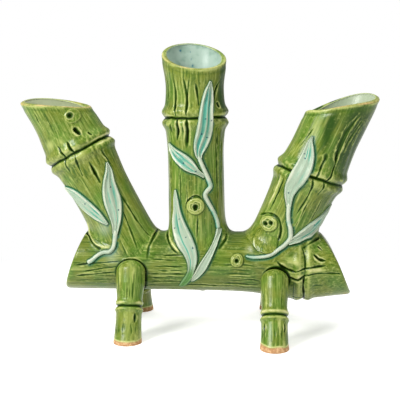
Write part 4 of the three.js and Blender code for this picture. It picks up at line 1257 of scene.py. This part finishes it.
def buildCulm(side):
    form, look = culmForms[side], culms[side]
    angle = roundAngles(culmMesh["sides"])
    low = joinAt(form, angle, form["radius"]) - culmMesh["sunk"]
    top = mouthAt(form, angle) - lipRound - 0.02
    along = low + (top - low) * np.linspace(0, 1, culmMesh["rows"])[:, None]
    turn = np.broadcast_to(angle, along.shape)
    skin = newSkin(turn * form["radius"], along)
    belowLip = mouthAt(form, turn) - along
    wide = grow(skin, math.tau * form["radius"], look["seed"], np.clip(belowLip / 14, 0.15, 1))
    cracks = backCracks(form["length"], look["seed"])
    carve(skin, look["marks"] + cracks, (math.radians(form["radius"]), 1))
    cutNode(form, look, skin, turn, along)
    workLip(look, skin, turn, belowLip)
    # Slip fills the crease at the log
    base = seated = culmRadius(form, along, turn)
    for _ in range(2):
        points = culmPoint(form, along, turn, seated)
        seated = base + slipAt(points, logDistance(points))
    points = culmPoint(form, along, turn, seated)
    carveFront(skin, points)
    poolGlaze(skin, skin["lift"] + 0.15 * nodeRing(along - ringLine(form, turn), form["ring"]))
    # Darker with the broad hills and at the culm's foot by the log, and in the listed patches, some of them
    # painted shade
    tone = 0.35 * wide + 0.25 * bump(along - joinAt(form, turn, form["radius"]), 5)
    for (a, b), across, tall, amount in look["tone"]:
        tone = tone + amount * bump(np.degrees(turn) - a, across) * bump(along - b, tall)
    radius = seated + skin["lift"]
    pool, teal = nearRelief(culmPoint(form, along, turn, radius))
    gather(skin, "pool", pool)
    # Over the lip and down the bore
    radii, heights, cream, pale = lipAndBore(form, look, angle, radius[-1], top)
    innerTurn = np.broadcast_to(angle, radii.shape)
    glazed = pale <= 0
    rubbed = 0.75 + 0.45 * hillsRound(innerTurn, 26, 0, 9)
    at, width, amount = look["worn"]
    worn = amount * bump(np.degrees(innerTurn) - at, width) * cream * glazed
    worn = worn * np.clip(1.6 * rubbed - 0.5, 0, 1)
    # Green glaze lies thick and patchy on the back of some rims
    at, width, amount = look["thickRim"]
    thick = amount * bump((np.degrees(innerTurn) - at + 180) % 360 - 180, width) * glazed
    thick = thick * np.clip(2.6 - 2.4 * rubbed, 0, 1.3)
    edge = 0.72 * cream * rubbed * (1 - 0.7 * np.clip(thick, 0, 1))
    speck = np.zeros(radii.shape)
    for a, b, size in look["blue"]:
        across = np.radians((np.degrees(innerTurn) - a + 180) % 360 - 180) * form["radius"]
        speck = np.maximum(speck, pale * bump(np.hypot(across, heights - b), size))

    def joined(outside, inside=0.0):
        outside = np.broadcast_to(outside, skin["a"].shape)
        return np.concatenate([outside, np.broadcast_to(inside, radii.shape)])

    radius, along, turn = joined(radius, radii), joined(along, heights), joined(turn, innerTurn)
    points = culmPoint(form, along, turn, radius)
    layers = greenLayers(
        points, pool=joined(skin["pool"]), edge=joined(skin["edge"], edge), teal=joined(teal),
        pale=joined(paleAt(points[:len(teal)]), pale), tone=joined(tone, thick + look["bore"] * (pale > 0)),
        speck=joined(0.0, speck), bare=joined(0.0, worn),
        grain=np.stack([radius * np.sin(turn), -radius * np.cos(turn), along], -1),
    )
    piece = makeMesh("culm_" + side, points, layers, greenMaterial, ringShaped=True)
    settle(piece, "culm_" + side)


for side in culms:
    buildCulm(side)
    print("culm", side, "done")

# Log. Places are [along X, degrees up from the front]. Pairs are where something fades in and
# where it is full: on the block beyond the node along X, and on the top in degrees.
logMesh = {"rows": 316, "sides": 236, "edgeTurns": (25, 50, 75), "capRows": 14, "cutterSides": 72}
logLook = {
    "seed": 104, "grainBefore": 0.6, "grainBeyond": 8.6,
    "smoothBlock": (86, 89), "smoothTop": (30, 55), "paintedShadeTop": (35, 65), "paintedLightBlock": (85, 87),
    "rubbed": {"amount": 0.8, "reach": 3, "at": -72, "width": 14},
    "footRim": {"at": 2, "width": 0.7, "lift": 0.6, "cream": 0.85, "crease": 0.5, "creaseWidth": 0.9},
}
logMarks = [
    {"path": [[-95, 0], [-76, 5], [-57.3, 9]], "wide": 0.6, "deep": 0.6, "dark": 0.5},
    {"path": [[-93, -3], [-80, -1], [-66, 3]], "wide": 0.45, "deep": 0.3, "dark": 0.35},
    {"path": [[-88.5, -13], [-74, -6], [-60.4, -1]], "wide": 0.55, "deep": 0.55, "dark": 0.5},
    {"path": [[-94.3, -23], [-78, -17], [-61.7, -12]], "wide": 0.6, "deep": 0.6, "dark": 0.55},
    {"path": [[-90.6, 30], [-82.6, 29]], "wide": 0.5, "deep": 0.4, "dark": 0.5},
    {"path": [[-92, -34], [-75, -30], [-62, -30]], "wide": 0.5, "deep": 0.4, "dark": 0.5},
    {"path": [[83, 36], [85, 19], [85.1, 2], [84.6, -12], [84, -30], [85.1, -54], [85.2, -80]], "wide": 0.6,
     "deep": 1.1, "dark": 1.1},
    {"path": [[63.3, 13], [68.3, 3], [77.2, -4], [84.9, 1], [95.6, 5], [101, 6]], "wide": 0.8, "deep": 1.1},
    {"path": [[70, -13], [79.2, -18], [86, -10], [95.7, -7], [112.8, -9]], "wide": 0.8, "deep": 1.1},
    {"path": [[86.5, -4], [92, -1], [101, -1.5]], "wide": 2.2, "deep": -0.8, "dark": 0, "crest": 0.8},
    {"path": [[76.5, -22], [76.8, -45], [77.5, -75]], "wide": 0.6, "deep": 0.4, "dark": 0.5},
    {"path": [[95.5, 42], [101, 32]], "wide": 1, "deep": 1.2, "dark": 1.1, "rim": 0.8, "cream": 1,
     "taper": 3},
    {"path": [[91.7, 25], [96, 17], [101.5, 15]], "wide": 1, "deep": 1.3, "dark": 1.2, "rim": 0.8, "cream": 1,
     "taper": 3},
    {"path": [[98, 58], [102.5, 52]], "wide": 0.8, "deep": 0.9, "taper": 3},
    {"path": [[73, 14], [77, 14]], "wide": 4, "deep": -1, "dark": 0, "crest": 0.3, "taper": 0},
]


def crackAlong(chance, start, end, angle, stray):
    return [[start + (end - start) * t, angle + chance.normal(0, stray)] for t in (0, 0.33, 0.67, 1)]


# Long cracks with the grain: those that are seen, from one place along X to another at their
# angles, and the ranges of the rest, which keep clear of the front and the top
logCracks = {
    "seen": [(-36, -8, (22, 13, 1, -7, -15, -23, -33)), (20, 52, (4, -5, -12, -19, -27, -36)),
             (89, 98, (-30,))],
    "seed": 7, "count": 70, "angle": (-175, 175), "start": (-92, 84), "length": (15, 50), "farthest": 104,
    "clear": (-40, 105),
}


def logGrain():
    look = logCracks
    chance = np.random.default_rng(look["seed"])
    marks = []
    for start, end, angles in look["seen"]:
        for angle in angles:
            path = crackAlong(chance, start + chance.uniform(-2, 6), end + chance.uniform(-6, 3), angle, 1.1)
            marks.append({"path": path, "wide": chance.uniform(0.5, 0.7), "deep": chance.uniform(0.3, 0.65),
                          "dark": chance.uniform(0.35, 0.6)})
    for _ in range(look["count"]):
        angle = chance.uniform(*look["angle"])
        start = chance.uniform(*look["start"])
        if look["clear"][0] < angle < look["clear"][1]:
            continue
        end = min(start + chance.uniform(*look["length"]), look["farthest"])
        path = crackAlong(chance, start, end, angle, 1.2)
        marks.append({"path": path, "wide": chance.uniform(0.5, 0.8), "deep": chance.uniform(0.3, 0.8)})
    return marks


footShape = {
    "radius": 9.4, "seat": 10.3, "flare": 1.5, "flareLength": 12, "rows": 150, "sides": 96,
    "ring": {"pitch": 2.7, "bead": 0.9, "beadWidth": 1.6, "groove": 0.7, "shoulder": 0.4, "shoulderWidth": 8},
}


def footGap(points, keep=(1, 1, 1)):
    # Distance from the side of the nearest foot, along the directions kept
    gap = np.full(points.shape[:-1], 99.0)
    for pair in footPairs.values():
        lean = math.radians(pair["lean"])
        for row, sign in (("front", -1), ("rear", 1)):
            axis = np.array([0, -sign * math.sin(lean), math.cos(lean)])
            offset = points - np.array([pair[row], sign * pair["stance"], 0])
            up = np.clip(offset @ axis, 0, pair["length"] - footShape["seat"] - 1)
            fromSide = np.linalg.norm((offset - up[..., None] * axis) * keep, axis=-1) - footShape["seat"]
            gap = np.minimum(gap, fromSide)
    return gap


def logEnd(end, inward, angle):
    # The rounded edge and the slanted face of one end
    form, rings = logForm, []
    edge = np.full(angle.shape, form[end + "End"])
    for turnBy in logMesh["edgeTurns"]:
        c, s = math.cos(math.radians(turnBy)), math.sin(math.radians(turnBy))
        place = edge + inward * form["edgeRound"] * (1 - s)
        rings.append(logPoint(place, angle, -form["edgeRound"] * (1 - c)))
    for share in np.linspace(1, 0.04, logMesh["capRows"]):
        ring = logPoint(edge, angle, -form["edgeRound"], share)
        ring[:, 0] += inward * (1 - share) * (0.5 + 0.35 * hillsRound(angle, 8, share * 4, 61))
        rings.append(ring)
    return np.array(rings)


def buildLog():
    form, look = logForm, logLook
    angle = roundAngles(logMesh["sides"])
    shape = logMesh["rows"], logMesh["sides"]
    x = np.linspace(form["leftEnd"] + form["edgeRound"], form["rightEnd"] - form["edgeRound"], shape[0])
    x, turn = np.broadcast_to(x[:, None], shape), np.broadcast_to(angle, shape)
    degrees = np.degrees(turn)
    skin = newSkin(turn * form["halfDepth"], x)
    # The block beyond the node and the saddles between the culms are smooth
    smooth = 0.75 * fadeIn(x, *look["smoothBlock"])
    smooth = smooth + 0.6 * fadeIn(degrees, *look["smoothTop"]) * (turn < 1.9)
    fromEnd = np.minimum(x - form["leftEnd"], form["rightEnd"] - x)
    fade = np.clip(fromEnd / 12, 0.2, 1) * np.clip(1 - smooth, 0.15, 1)
    wide = grow(skin, math.tau * form["halfDepth"], look["seed"], fade)
    marks = [{**mark, "path": [[b, a] for a, b in mark["path"]]} for mark in logMarks + logGrain()]
    carve(skin, marks, (math.radians(form["halfDepth"]), 1))
    fromNode = x - form["nodeAt"]
    upper = fadeIn(np.abs(degrees), 60, 90)
    skin["lift"] -= 0.7 * upper * bump(fromNode, 0.9)
    gather(skin, "pool", 1.1 * upper * bump(fromNode, 1.0))
    gather(skin, "edge", 0.5 * bump(np.abs(fromNode) - 3.4, 1.4))
    # Slip fills the creases at the culms
    points = logPoint(x, turn)
    for _ in range(3):
        slip = slipAt(points, np.min([culmDistance(culm, points) for culm in culmForms.values()], axis=0))
        points = logPoint(x, turn, slip)
    carveFront(skin, points)
    poolGlaze(skin, skin["lift"] + 0.3 * nodeRing(fromNode, form["ring"]))
    # A slip rim stands round the top of each foot, with dark glaze in the crease inside it
    foot = look["footRim"]
    gap = np.maximum(footGap(points), 0)
    rim = bump(gap - foot["at"], foot["width"]) * fadeIn(degrees, -30, -10)
    gather(skin, "edge", foot["cream"] * rim)
    # Dark glaze in the crease at the foot, and painted shade on the log just behind the foot, where it stands
    # over it
    shadeBehindFoot = np.maximum(footGap(points - np.array([1.4, 0, 0]), (1, 0, 1)), 0)
    gather(skin, "pool", 1.15 * np.maximum(bump(gap, 0.55), bump(shadeBehindFoot, 0.9) * (gap < 14)))
    skin["lift"] += foot["lift"] * rim - foot["crease"] * bump(gap, foot["creaseWidth"])
    points = logPoint(x, turn, slip + skin["lift"])
    pool, teal = nearRelief(points)
    gather(skin, "pool", pool)
    pale = paleAt(points)
    tone = 0.25 + 0.3 * wide
    # Painted shade on the log's top between the culms, and painted light on the block beyond the node
    tone = tone + 0.35 * fadeIn(degrees, *look["paintedShadeTop"]) - 0.25 * fadeIn(x, *look["paintedLightBlock"])
    # Glaze worn off the lower right corner
    corner = look["rubbed"]
    rubbed = bump(x - form["rightEnd"], corner["reach"]) * bump(degrees - corner["at"], corner["width"])
    rubbed = corner["amount"] * rubbed
    left, right = logEnd("left", 1, angle)[::-1], logEnd("right", -1, angle)
    points = np.concatenate([left, points, right])

    def padded(values, value=0.0):
        before, after = (np.full(end.shape[:2], value) for end in (left, right))
        return np.concatenate([before, values, after])

    # Long fibres up to the node, and none beyond it
    grain = points[..., [2, 1, 0]] - np.array([form["axisHeight"], 0, 0])
    grain[..., 2] *= np.where(points[..., 0] > form["nodeAt"], look["grainBeyond"], look["grainBefore"])
    layers = greenLayers(points, pool=padded(skin["pool"]), edge=padded(skin["edge"], 0.1), teal=padded(teal),
                         pale=padded(pale), tone=padded(tone, 0.2), bare=padded(rubbed), grain=grain)
    return makeMesh("log_body", points, layers, greenMaterial)


def hollowOut(log):
    # Cuts the cavity and the three bores that let the culms share their water
    form = logForm
    angle = roundAngles(logMesh["cutterSides"])
    rise = (form["halfHeight"] - wall) * np.sin(angle)
    depth = -(form["halfDepth"] - wall) * np.cos(angle)
    stations = (form["leftEnd"] + wall, -50, 0, 50, form["rightEnd"] - wall)
    cutters = [[np.stack([x + logShift(x, rise), depth, form["axisHeight"] + rise], -1) for x in stations]]
    for culm in culmForms.values():
        cutters.append([culmPoint(culm, along, angle, culm["radius"] - wall) for along in (0, 20, 42)])
    for rings in cutters:
        tool = makeMesh("cutter", np.array(rings))
        cut = log.modifiers.new("cut", "BOOLEAN")
        cut.operation, cut.solver, cut.object = "DIFFERENCE", "MANIFOLD", tool
        graph = bpy.context.evaluated_depsgraph_get()
        mesh = bpy.data.meshes.new_from_object(log.evaluated_get(graph))
        log.modifiers.remove(cut)
        log.data = mesh
        bpy.data.objects.remove(tool)
    log.data.name = "log_body"


logPiece = buildLog()
hollowOut(logPiece)
settle(logPiece, "log_body")
print("log done")

# Feet: bamboo offcuts leaning in to the log. A node tree bends a grid into the domed foot. clay is
# how high the sole is bare, and cuts hold paths of [degrees round from the outside, distance up]
# with their depth.
feet = {
    "foot_front_left": {"clay": 3.2, "cuts": [([[36, 21.6], [37, 18], [36, 14]], 1.3)], "seed": 245},
    "foot_rear_left": {"clay": 3.8, "cuts": [([[150, 20], [151, 13]], 1.1)], "seed": 244},
    "foot_front_right": {
        "clay": 3.6, "seed": 255,
        "cuts": [([[-49, 18], [-50, 14.6], [-49, 11]], 1.1), ([[47, 18.2], [48, 14.6], [47, 10.8]], 1.1)],
    },
    "foot_rear_right": {"clay": 4, "cuts": [([[-140, 19], [-141, 12]], 1.1)], "seed": 254},
}
footCut = {"wide": 0.9, "dark": 1.25, "rim": 0.6, "cream": 1, "taper": 3}
# Ranges of the fine cracks, which start above the sole or past the ring
footCracks = {
    "count": 34, "angle": (-176, 176), "aboveSole": 3, "pastRing": 4, "rim": 0.1,
    "wide": (0.3, 0.5), "deep": (0.12, 0.34), "dark": (0.3, 0.65), "cream": (0.1, 0.4),
}
# How deep the dome stays in the log, from where the slip widens it and wears it down, and above
# which height dark glaze lies in the crease
footSeat = {"buried": 1.6, "widenFrom": 32, "widenOver": 12, "wornOver": 14, "wornPast": 1, "creaseFrom": 25}


def footTree():
    sizes = ["Radius", "Flare", "Flare Length", "Length", "Lean", "Turn", "Ring At", "Ring Pitch", "Bead",
             "Bead Width", "Groove", "Shoulder", "Shoulder Width"]
    inputs = [("Rows", "Int"), ("Sides", "Int"), ("Place", "Vector"), ("Glaze", "Material")]
    tree, given = newTree("domed_bamboo_foot", inputs + [(label, "Float") for label in sizes])
    grid = addNode(tree, "GeometryNodeMeshGrid", {},
                   {"Size X": 1.0, "Size Y": 1.0, "Vertices X": given["Sides"], "Vertices Y": given["Rows"]})
    position = addNode(tree, "GeometryNodeInputPosition").outputs[0]
    flat = addNode(tree, "ShaderNodeSeparateXYZ", {}, {0: position}).outputs
    value = {"u": flat[0], "v": flat[1], **{label: given[label] for label in sizes}}
    # From the middle of the sole out to its rim, up the side and over the dome
    steps = [
        ("phi", "MULTIPLY_ADD", "u", math.tau, math.pi), ("cos", "COSINE", "phi"), ("sin", "SINE", "phi"),
        ("dome", "SUBTRACT", "Length", "Radius"),
        ("reach", "MULTIPLY_ADD", "Radius", math.pi / 2 + 1, "dome"),
        ("v01", "ADD", "v", 0.5), ("t", "MULTIPLY", "v01", "reach"), ("t", "SUBTRACT", "t", "Radius"),
        ("sole", "DIVIDE", "t", "Radius"), ("sole", "ADD", "sole", 1.0), ("sole", "MINIMUM", "sole", 1.0),
        ("tube", "DIVIDE", "t", "dome"), ("tube", "MINIMUM", "tube", 1.0), ("tube", "MAXIMUM", "tube", 0.0),
        ("low", "SUBTRACT", 1.0, "tube"), ("over", "SUBTRACT", "t", "dome"), ("over", "MAXIMUM", "over", 0.0),
        ("over", "DIVIDE", "over", "Radius"), ("domeCos", "COSINE", "over"), ("domeSin", "SINE", "over"),
        ("slope", "TANGENT", "Lean"), ("slope", "MULTIPLY", "slope", "cos"),
        ("slope", "MULTIPLY", "slope", "low"),
        ("rise", "MULTIPLY", "dome", "tube"), ("wide", "ADD", "Radius", "Flare"),
        ("guess", "MULTIPLY", "wide", "slope"), ("guess", "SUBTRACT", "rise", "guess"),
        ("up", "MAXIMUM", "guess", 0.0), ("up", "DIVIDE", "up", "Flare Length"),
        ("up", "MULTIPLY", "up", -1.0),
        ("spread", "EXPONENT", "up"), ("radius", "MULTIPLY_ADD", "spread", "Flare", "Radius"),
        ("gap", "SUBTRACT", "guess", "Ring At"), ("upper", "SUBTRACT", "gap", "Ring Pitch"),
        ("lower", "ADD", "gap", "Ring Pitch"), ("half", "MULTIPLY", "Bead Width", 0.5),
        ("dip", "MULTIPLY", "Groove", -1.0),
    ]
    humps = [("upper", "Bead Width", "Bead"), ("lower", "Bead Width", "Bead"), ("gap", "half", "dip"),
             ("gap", "Shoulder Width", "Shoulder")]
    for part, width, height in humps:
        steps += [("hump", "DIVIDE", part, width), ("hump", "MULTIPLY", "hump", "hump"),
                  ("hump", "MULTIPLY", "hump", -1.0), ("hump", "EXPONENT", "hump"),
                  ("radius", "MULTIPLY_ADD", "hump", height, "radius")]
    steps += [
        ("radius", "MULTIPLY", "radius", "domeCos"), ("radius", "MULTIPLY", "radius", "sole"),
        ("along", "MULTIPLY_ADD", "Radius", "domeSin", "rise"), ("tilt", "MULTIPLY", "radius", "slope"),
        ("along", "SUBTRACT", "along", "tilt"), ("x", "MULTIPLY", "radius", "sin"),
        ("n", "MULTIPLY", "radius", "cos"), ("leanCos", "COSINE", "Lean"), ("leanSin", "SINE", "Lean"),
        ("y", "MULTIPLY", "along", "leanSin"), ("back", "MULTIPLY", "n", "leanCos"),
        ("y", "SUBTRACT", "y", "back"),
        ("z", "MULTIPLY", "along", "leanCos"), ("z", "MULTIPLY_ADD", "n", "leanSin", "z"),
    ]
    for label, operation, *terms in steps:
        parts = {k: value[term] if isinstance(term, str) else term for k, term in enumerate(terms)}
        value[label] = addNode(tree, "ShaderNodeMath", {"operation": operation, "label": label},
                               parts).outputs[0]
    shaped = addNode(tree, "ShaderNodeCombineXYZ", {},
                     {0: value["x"], 1: value["y"], 2: value["z"]}).outputs[0]
    turned = addNode(tree, "ShaderNodeVectorRotate", {"rotation_type": "Z_AXIS"},
                     {"Vector": shaped, "Angle": value["Turn"]}).outputs[0]
    placed = addNode(tree, "ShaderNodeVectorMath", {"operation": "ADD"},
                     {0: turned, 1: given["Place"]}).outputs[0]
    foot = addNode(tree, "GeometryNodeSetPosition", {},
                   {"Geometry": grid.outputs[0], "Position": placed}).outputs[0]
    closed = addNode(tree, "GeometryNodeMergeByDistance", {},
                     {"Geometry": foot, "Distance": 0.02 * mm}).outputs[0]
    real = addNode(tree, "GeometryNodeRealizeInstances", {}, {"Geometry": closed}).outputs[0]
    painted = addNode(tree, "GeometryNodeSetMaterial", {},
                      {"Geometry": real, "Material": given["Glaze"]}).outputs[0]
    addNode(tree, "NodeGroupOutput", {}, {0: painted})
    return tree


def footCarving(name, pair):
    # The cuts that the photograph shows, and fine cracks below and above the ring
    chance, low = np.random.default_rng(feet[name]["seed"]), footCracks["aboveSole"]
    marks = [{"path": path, "deep": deep, **footCut} for path, deep in feet[name]["cuts"]]
    for _ in range(footCracks["count"]):
        angle = chance.uniform(*footCracks["angle"])
        start = chance.choice([low, pair["ringAt"] + footCracks["pastRing"]])
        end = start + chance.uniform(9, 19 if start == low else 27)
        path = [[angle + chance.normal(0, 1.5), start + (end - start) * t] for t in (0, 0.35, 0.7, 1)]
        crack = {key: chance.uniform(*footCracks[key]) for key in ("wide", "deep", "dark", "cream")}
        marks.append({"path": path, "rim": footCracks["rim"], **crack})
    return marks


def buildFoot(row, side, tree):
    name = "foot_" + row + "_" + side
    pair, ring, look = footPairs[side], footShape["ring"], feet[name]
    sign = -1 if row == "front" else 1
    lean = math.radians(pair["lean"])
    origin = np.array([pair[row], sign * pair["stance"], 0])
    lengths = {
        "Radius": footShape["radius"], "Flare": footShape["flare"], "Flare Length": footShape["flareLength"],
        "Length": pair["length"], "Ring At": pair["ringAt"], "Ring Pitch": ring["pitch"],
        "Bead": ring["bead"], "Bead Width": ring["beadWidth"], "Groove": ring["groove"],
        "Shoulder": ring["shoulder"], "Shoulder Width": ring["shoulderWidth"],
    }
    mesh = runTree(addObject(name + "_start", bpy.data.meshes.new(name + "_start")), tree, {
        "Rows": footShape["rows"], "Sides": footShape["sides"] + 1, "Glaze": greenMaterial, "Lean": lean,
        "Place": list((origin + zeroShift) * mm), "Turn": 0.0 if row == "front" else math.pi,
        **{label: length * mm for label, length in lengths.items()},
    })
    points = meshPoints(mesh)
    axis = np.array([0, -sign * math.sin(lean), math.cos(lean)])
    across = np.array([-sign, 0, 0])
    outward = np.array([0, sign * math.cos(lean), math.sin(lean)])
    offset = points - origin
    along = offset @ axis
    turn = np.arctan2(offset @ across, offset @ outward)
    skin = newSkin(turn * footShape["radius"], along)
    carve(skin, footCarving(name, pair), (math.radians(footShape["radius"]), 1))
    # Torn beads at the ring, and cream where the glaze drew off
    torn = hillsRound(turn, 14, 0, look["seed"] + 5)
    drawn = hillsRound(turn, 18, along / 17, look["seed"] + 6)
    fromRing = along - pair["ringAt"] - 0.2 * torn
    skin["lift"] -= 0.35 * bump(fromRing, 0.6)
    gather(skin, "pool", 1.2 * bump(fromRing, 0.75))
    gather(skin, "edge", 0.75 * np.clip(drawn - 0.1, 0, 1))
    gather(skin, "edge", bump(fromRing - 2.4, 1.1) * (0.55 + 0.55 * torn))
    gather(skin, "edge", bump(fromRing + 2.2, 0.8) * (0.35 + 0.4 * torn))
    # The slip that seats the foot widens its dome and wears its top down
    onSide = fadeIn(points[:, 2], 0, 0.8) * fadeIn(along, pair["length"], pair["length"] - 9)
    fromAxis = (offset - along[:, None] * axis) / footShape["radius"]
    wornFrom = pair["length"] - footSeat["wornOver"] - footSeat["wornPast"]
    widenTo = footSeat["widenFrom"] + footSeat["widenOver"]
    seated = pair["seated"] * fadeIn(along, footSeat["widenFrom"], widenTo)
    worn = pair["worn"] * fadeIn(along, wornFrom, wornFrom + footSeat["wornOver"])
    points = points + (skin["lift"] * onSide + seated)[:, None] * fromAxis - worn[:, None] * axis
    # What would stick through the log's wall stays just under its skin
    centre = points * np.array([1, 0, 0]) + np.array([0, 0, logForm["axisHeight"]])
    away = (points - centre) / np.linalg.norm(points - centre, axis=1, keepdims=True)
    for _ in range(4):
        buried = np.clip(-footSeat["buried"] - logDistance(points), 0, 40)
        points = points + away * buried[:, None]
    mesh.vertices.foreach_set("co", ((points + zeroShift) * mm).ravel())
    mesh.update()
    # Bare clay at the sole with a cream line above it, and dark glaze in the crease at the log
    band = look["clay"] + 0.7 * hillsRound(turn, 11, 0, look["seed"] + 7)
    gather(skin, "edge", 0.9 * bump(points[:, 2] - band - 0.5, 0.6))
    crease = bump(np.clip(logDistance(points), 0, 9), 0.8) * (points[:, 2] > footSeat["creaseFrom"])
    gather(skin, "pool", 0.9 * crease)
    piece = finishMesh(name, mesh, greenLayers(
        points, pool=skin["pool"], edge=skin["edge"], bare=fadeIn(points[:, 2], band + 0.25, band - 0.25),
        tone=0.3 * torn - 0.1, grain=np.stack([offset @ across, offset @ outward, along], -1),
    ))
    settle(piece, name)


tree = footTree()
for side in footPairs:
    for row in ("front", "rear"):
        buildFoot(row, side, tree)
print("feet done")

# Floor and backdrop: matt white paper, with the soft shadow left on it. glow is how far it is
# lifted to white, from near to far it turns plain white, halfSide is half the floor's side, and
# world is how strongly the room lights the vase.
stage = {"paper": "#F4F4F2", "glow": 0.5, "near": 160, "far": 340, "halfSide": 3000, "world": 0.33}
white = (1, 1, 1, 1)
# Lamps: place and size in metres, and power
lamps = {
    "key": {"at": (-0.85, -0.85, 0.95), "size": (0.5, 0.5), "power": 21},
    "fill": {"at": (0.95, -0.75, 0.45), "size": (0.7, 0.9), "power": 2},
    "top": {"at": (0.05, 0.15, 1.25), "size": (1.2, 0.8), "power": 9},
}
lampAim = (0, 0, 0.1)


def buildStage():
    material, tree = newMaterial("white_paper")
    paths = addNode(tree, "ShaderNodeLightPath").outputs
    seen = addNode(tree, "ShaderNodeMath", {"operation": "MAXIMUM"},
                   {0: paths["Is Camera Ray"], 1: paths["Is Glossy Ray"]}).outputs[0]
    seen = addNode(tree, "ShaderNodeMath", {"operation": "MAXIMUM"},
                   {0: seen, 1: paths["Is Transmission Ray"]}).outputs[0]
    paper = addNode(tree, "ShaderNodeBsdfDiffuse", {}, {"Color": colour(stage["paper"])}).outputs[0]
    glow = addNode(tree, "ShaderNodeEmission", {}, {"Color": white, "Strength": stage["glow"]}).outputs[0]
    lit = addNode(tree, "ShaderNodeAddShader", {}, {0: paper, 1: glow}).outputs[0]
    # Away from the feet the paper is plain white
    place = addNode(tree, "ShaderNodeTexCoord").outputs["Object"]
    reach = addNode(tree, "ShaderNodeVectorMath", {"operation": "LENGTH"}, {0: place}).outputs["Value"]
    far = addNode(tree, "ShaderNodeMapRange", {"interpolation_type": "SMOOTHSTEP"},
                  {0: reach, 1: stage["near"] * mm, 2: stage["far"] * mm}).outputs[0]
    plain = addNode(tree, "ShaderNodeEmission", {}, {"Color": white, "Strength": 1.0}).outputs[0]
    lit = addNode(tree, "ShaderNodeMixShader", {}, {0: far, 1: lit, 2: plain}).outputs[0]
    mixed = addNode(tree, "ShaderNodeMixShader", {}, {0: seen, 1: paper, 2: lit}).outputs[0]
    addNode(tree, "ShaderNodeOutputMaterial", {}, {"Surface": mixed})
    half = stage["halfSide"] * mm
    mesh = bpy.data.meshes.new("floor")
    corners = [(-half, -half, 0), (half, -half, 0), (half, half, 0), (-half, half, 0)]
    mesh.from_pydata(corners, [], [(0, 1, 2, 3)])
    mesh.materials.append(material)
    floor = addObject("floor", mesh)


def lightScene():
    world = bpy.data.worlds.new("studio")
    world.use_nodes = True
    tree = world.node_tree
    tree.nodes.clear()
    paths = addNode(tree, "ShaderNodeLightPath").outputs
    dim = addNode(tree, "ShaderNodeBackground", {}, {"Color": white, "Strength": stage["world"]}).outputs[0]
    plain = addNode(tree, "ShaderNodeBackground", {}, {"Color": white, "Strength": 1.0}).outputs[0]
    mixed = addNode(tree, "ShaderNodeMixShader", {}, {0: paths["Is Camera Ray"], 1: dim, 2: plain}).outputs[0]
    addNode(tree, "ShaderNodeOutputWorld", {}, {"Surface": mixed})
    bpy.context.scene.world = world
    for name, given in lamps.items():
        data = bpy.data.lights.new(name, "AREA")
        data.shape = "RECTANGLE"
        data.size, data.size_y = given["size"]
        data.energy = given["power"]
        lamp = addObject(name, data)
        lamp.location = given["at"]
        # Only the key light is mirrored in the glaze: the others would lay a grey haze over it
        lamp.visible_glossy = name == "key"
        lamp.rotation_euler = (Vector(lampAim) - lamp.location).to_track_quat("-Z", "Y").to_euler()


buildStage()
lightScene()
bpy.context.scene.view_settings.view_transform = "Standard"
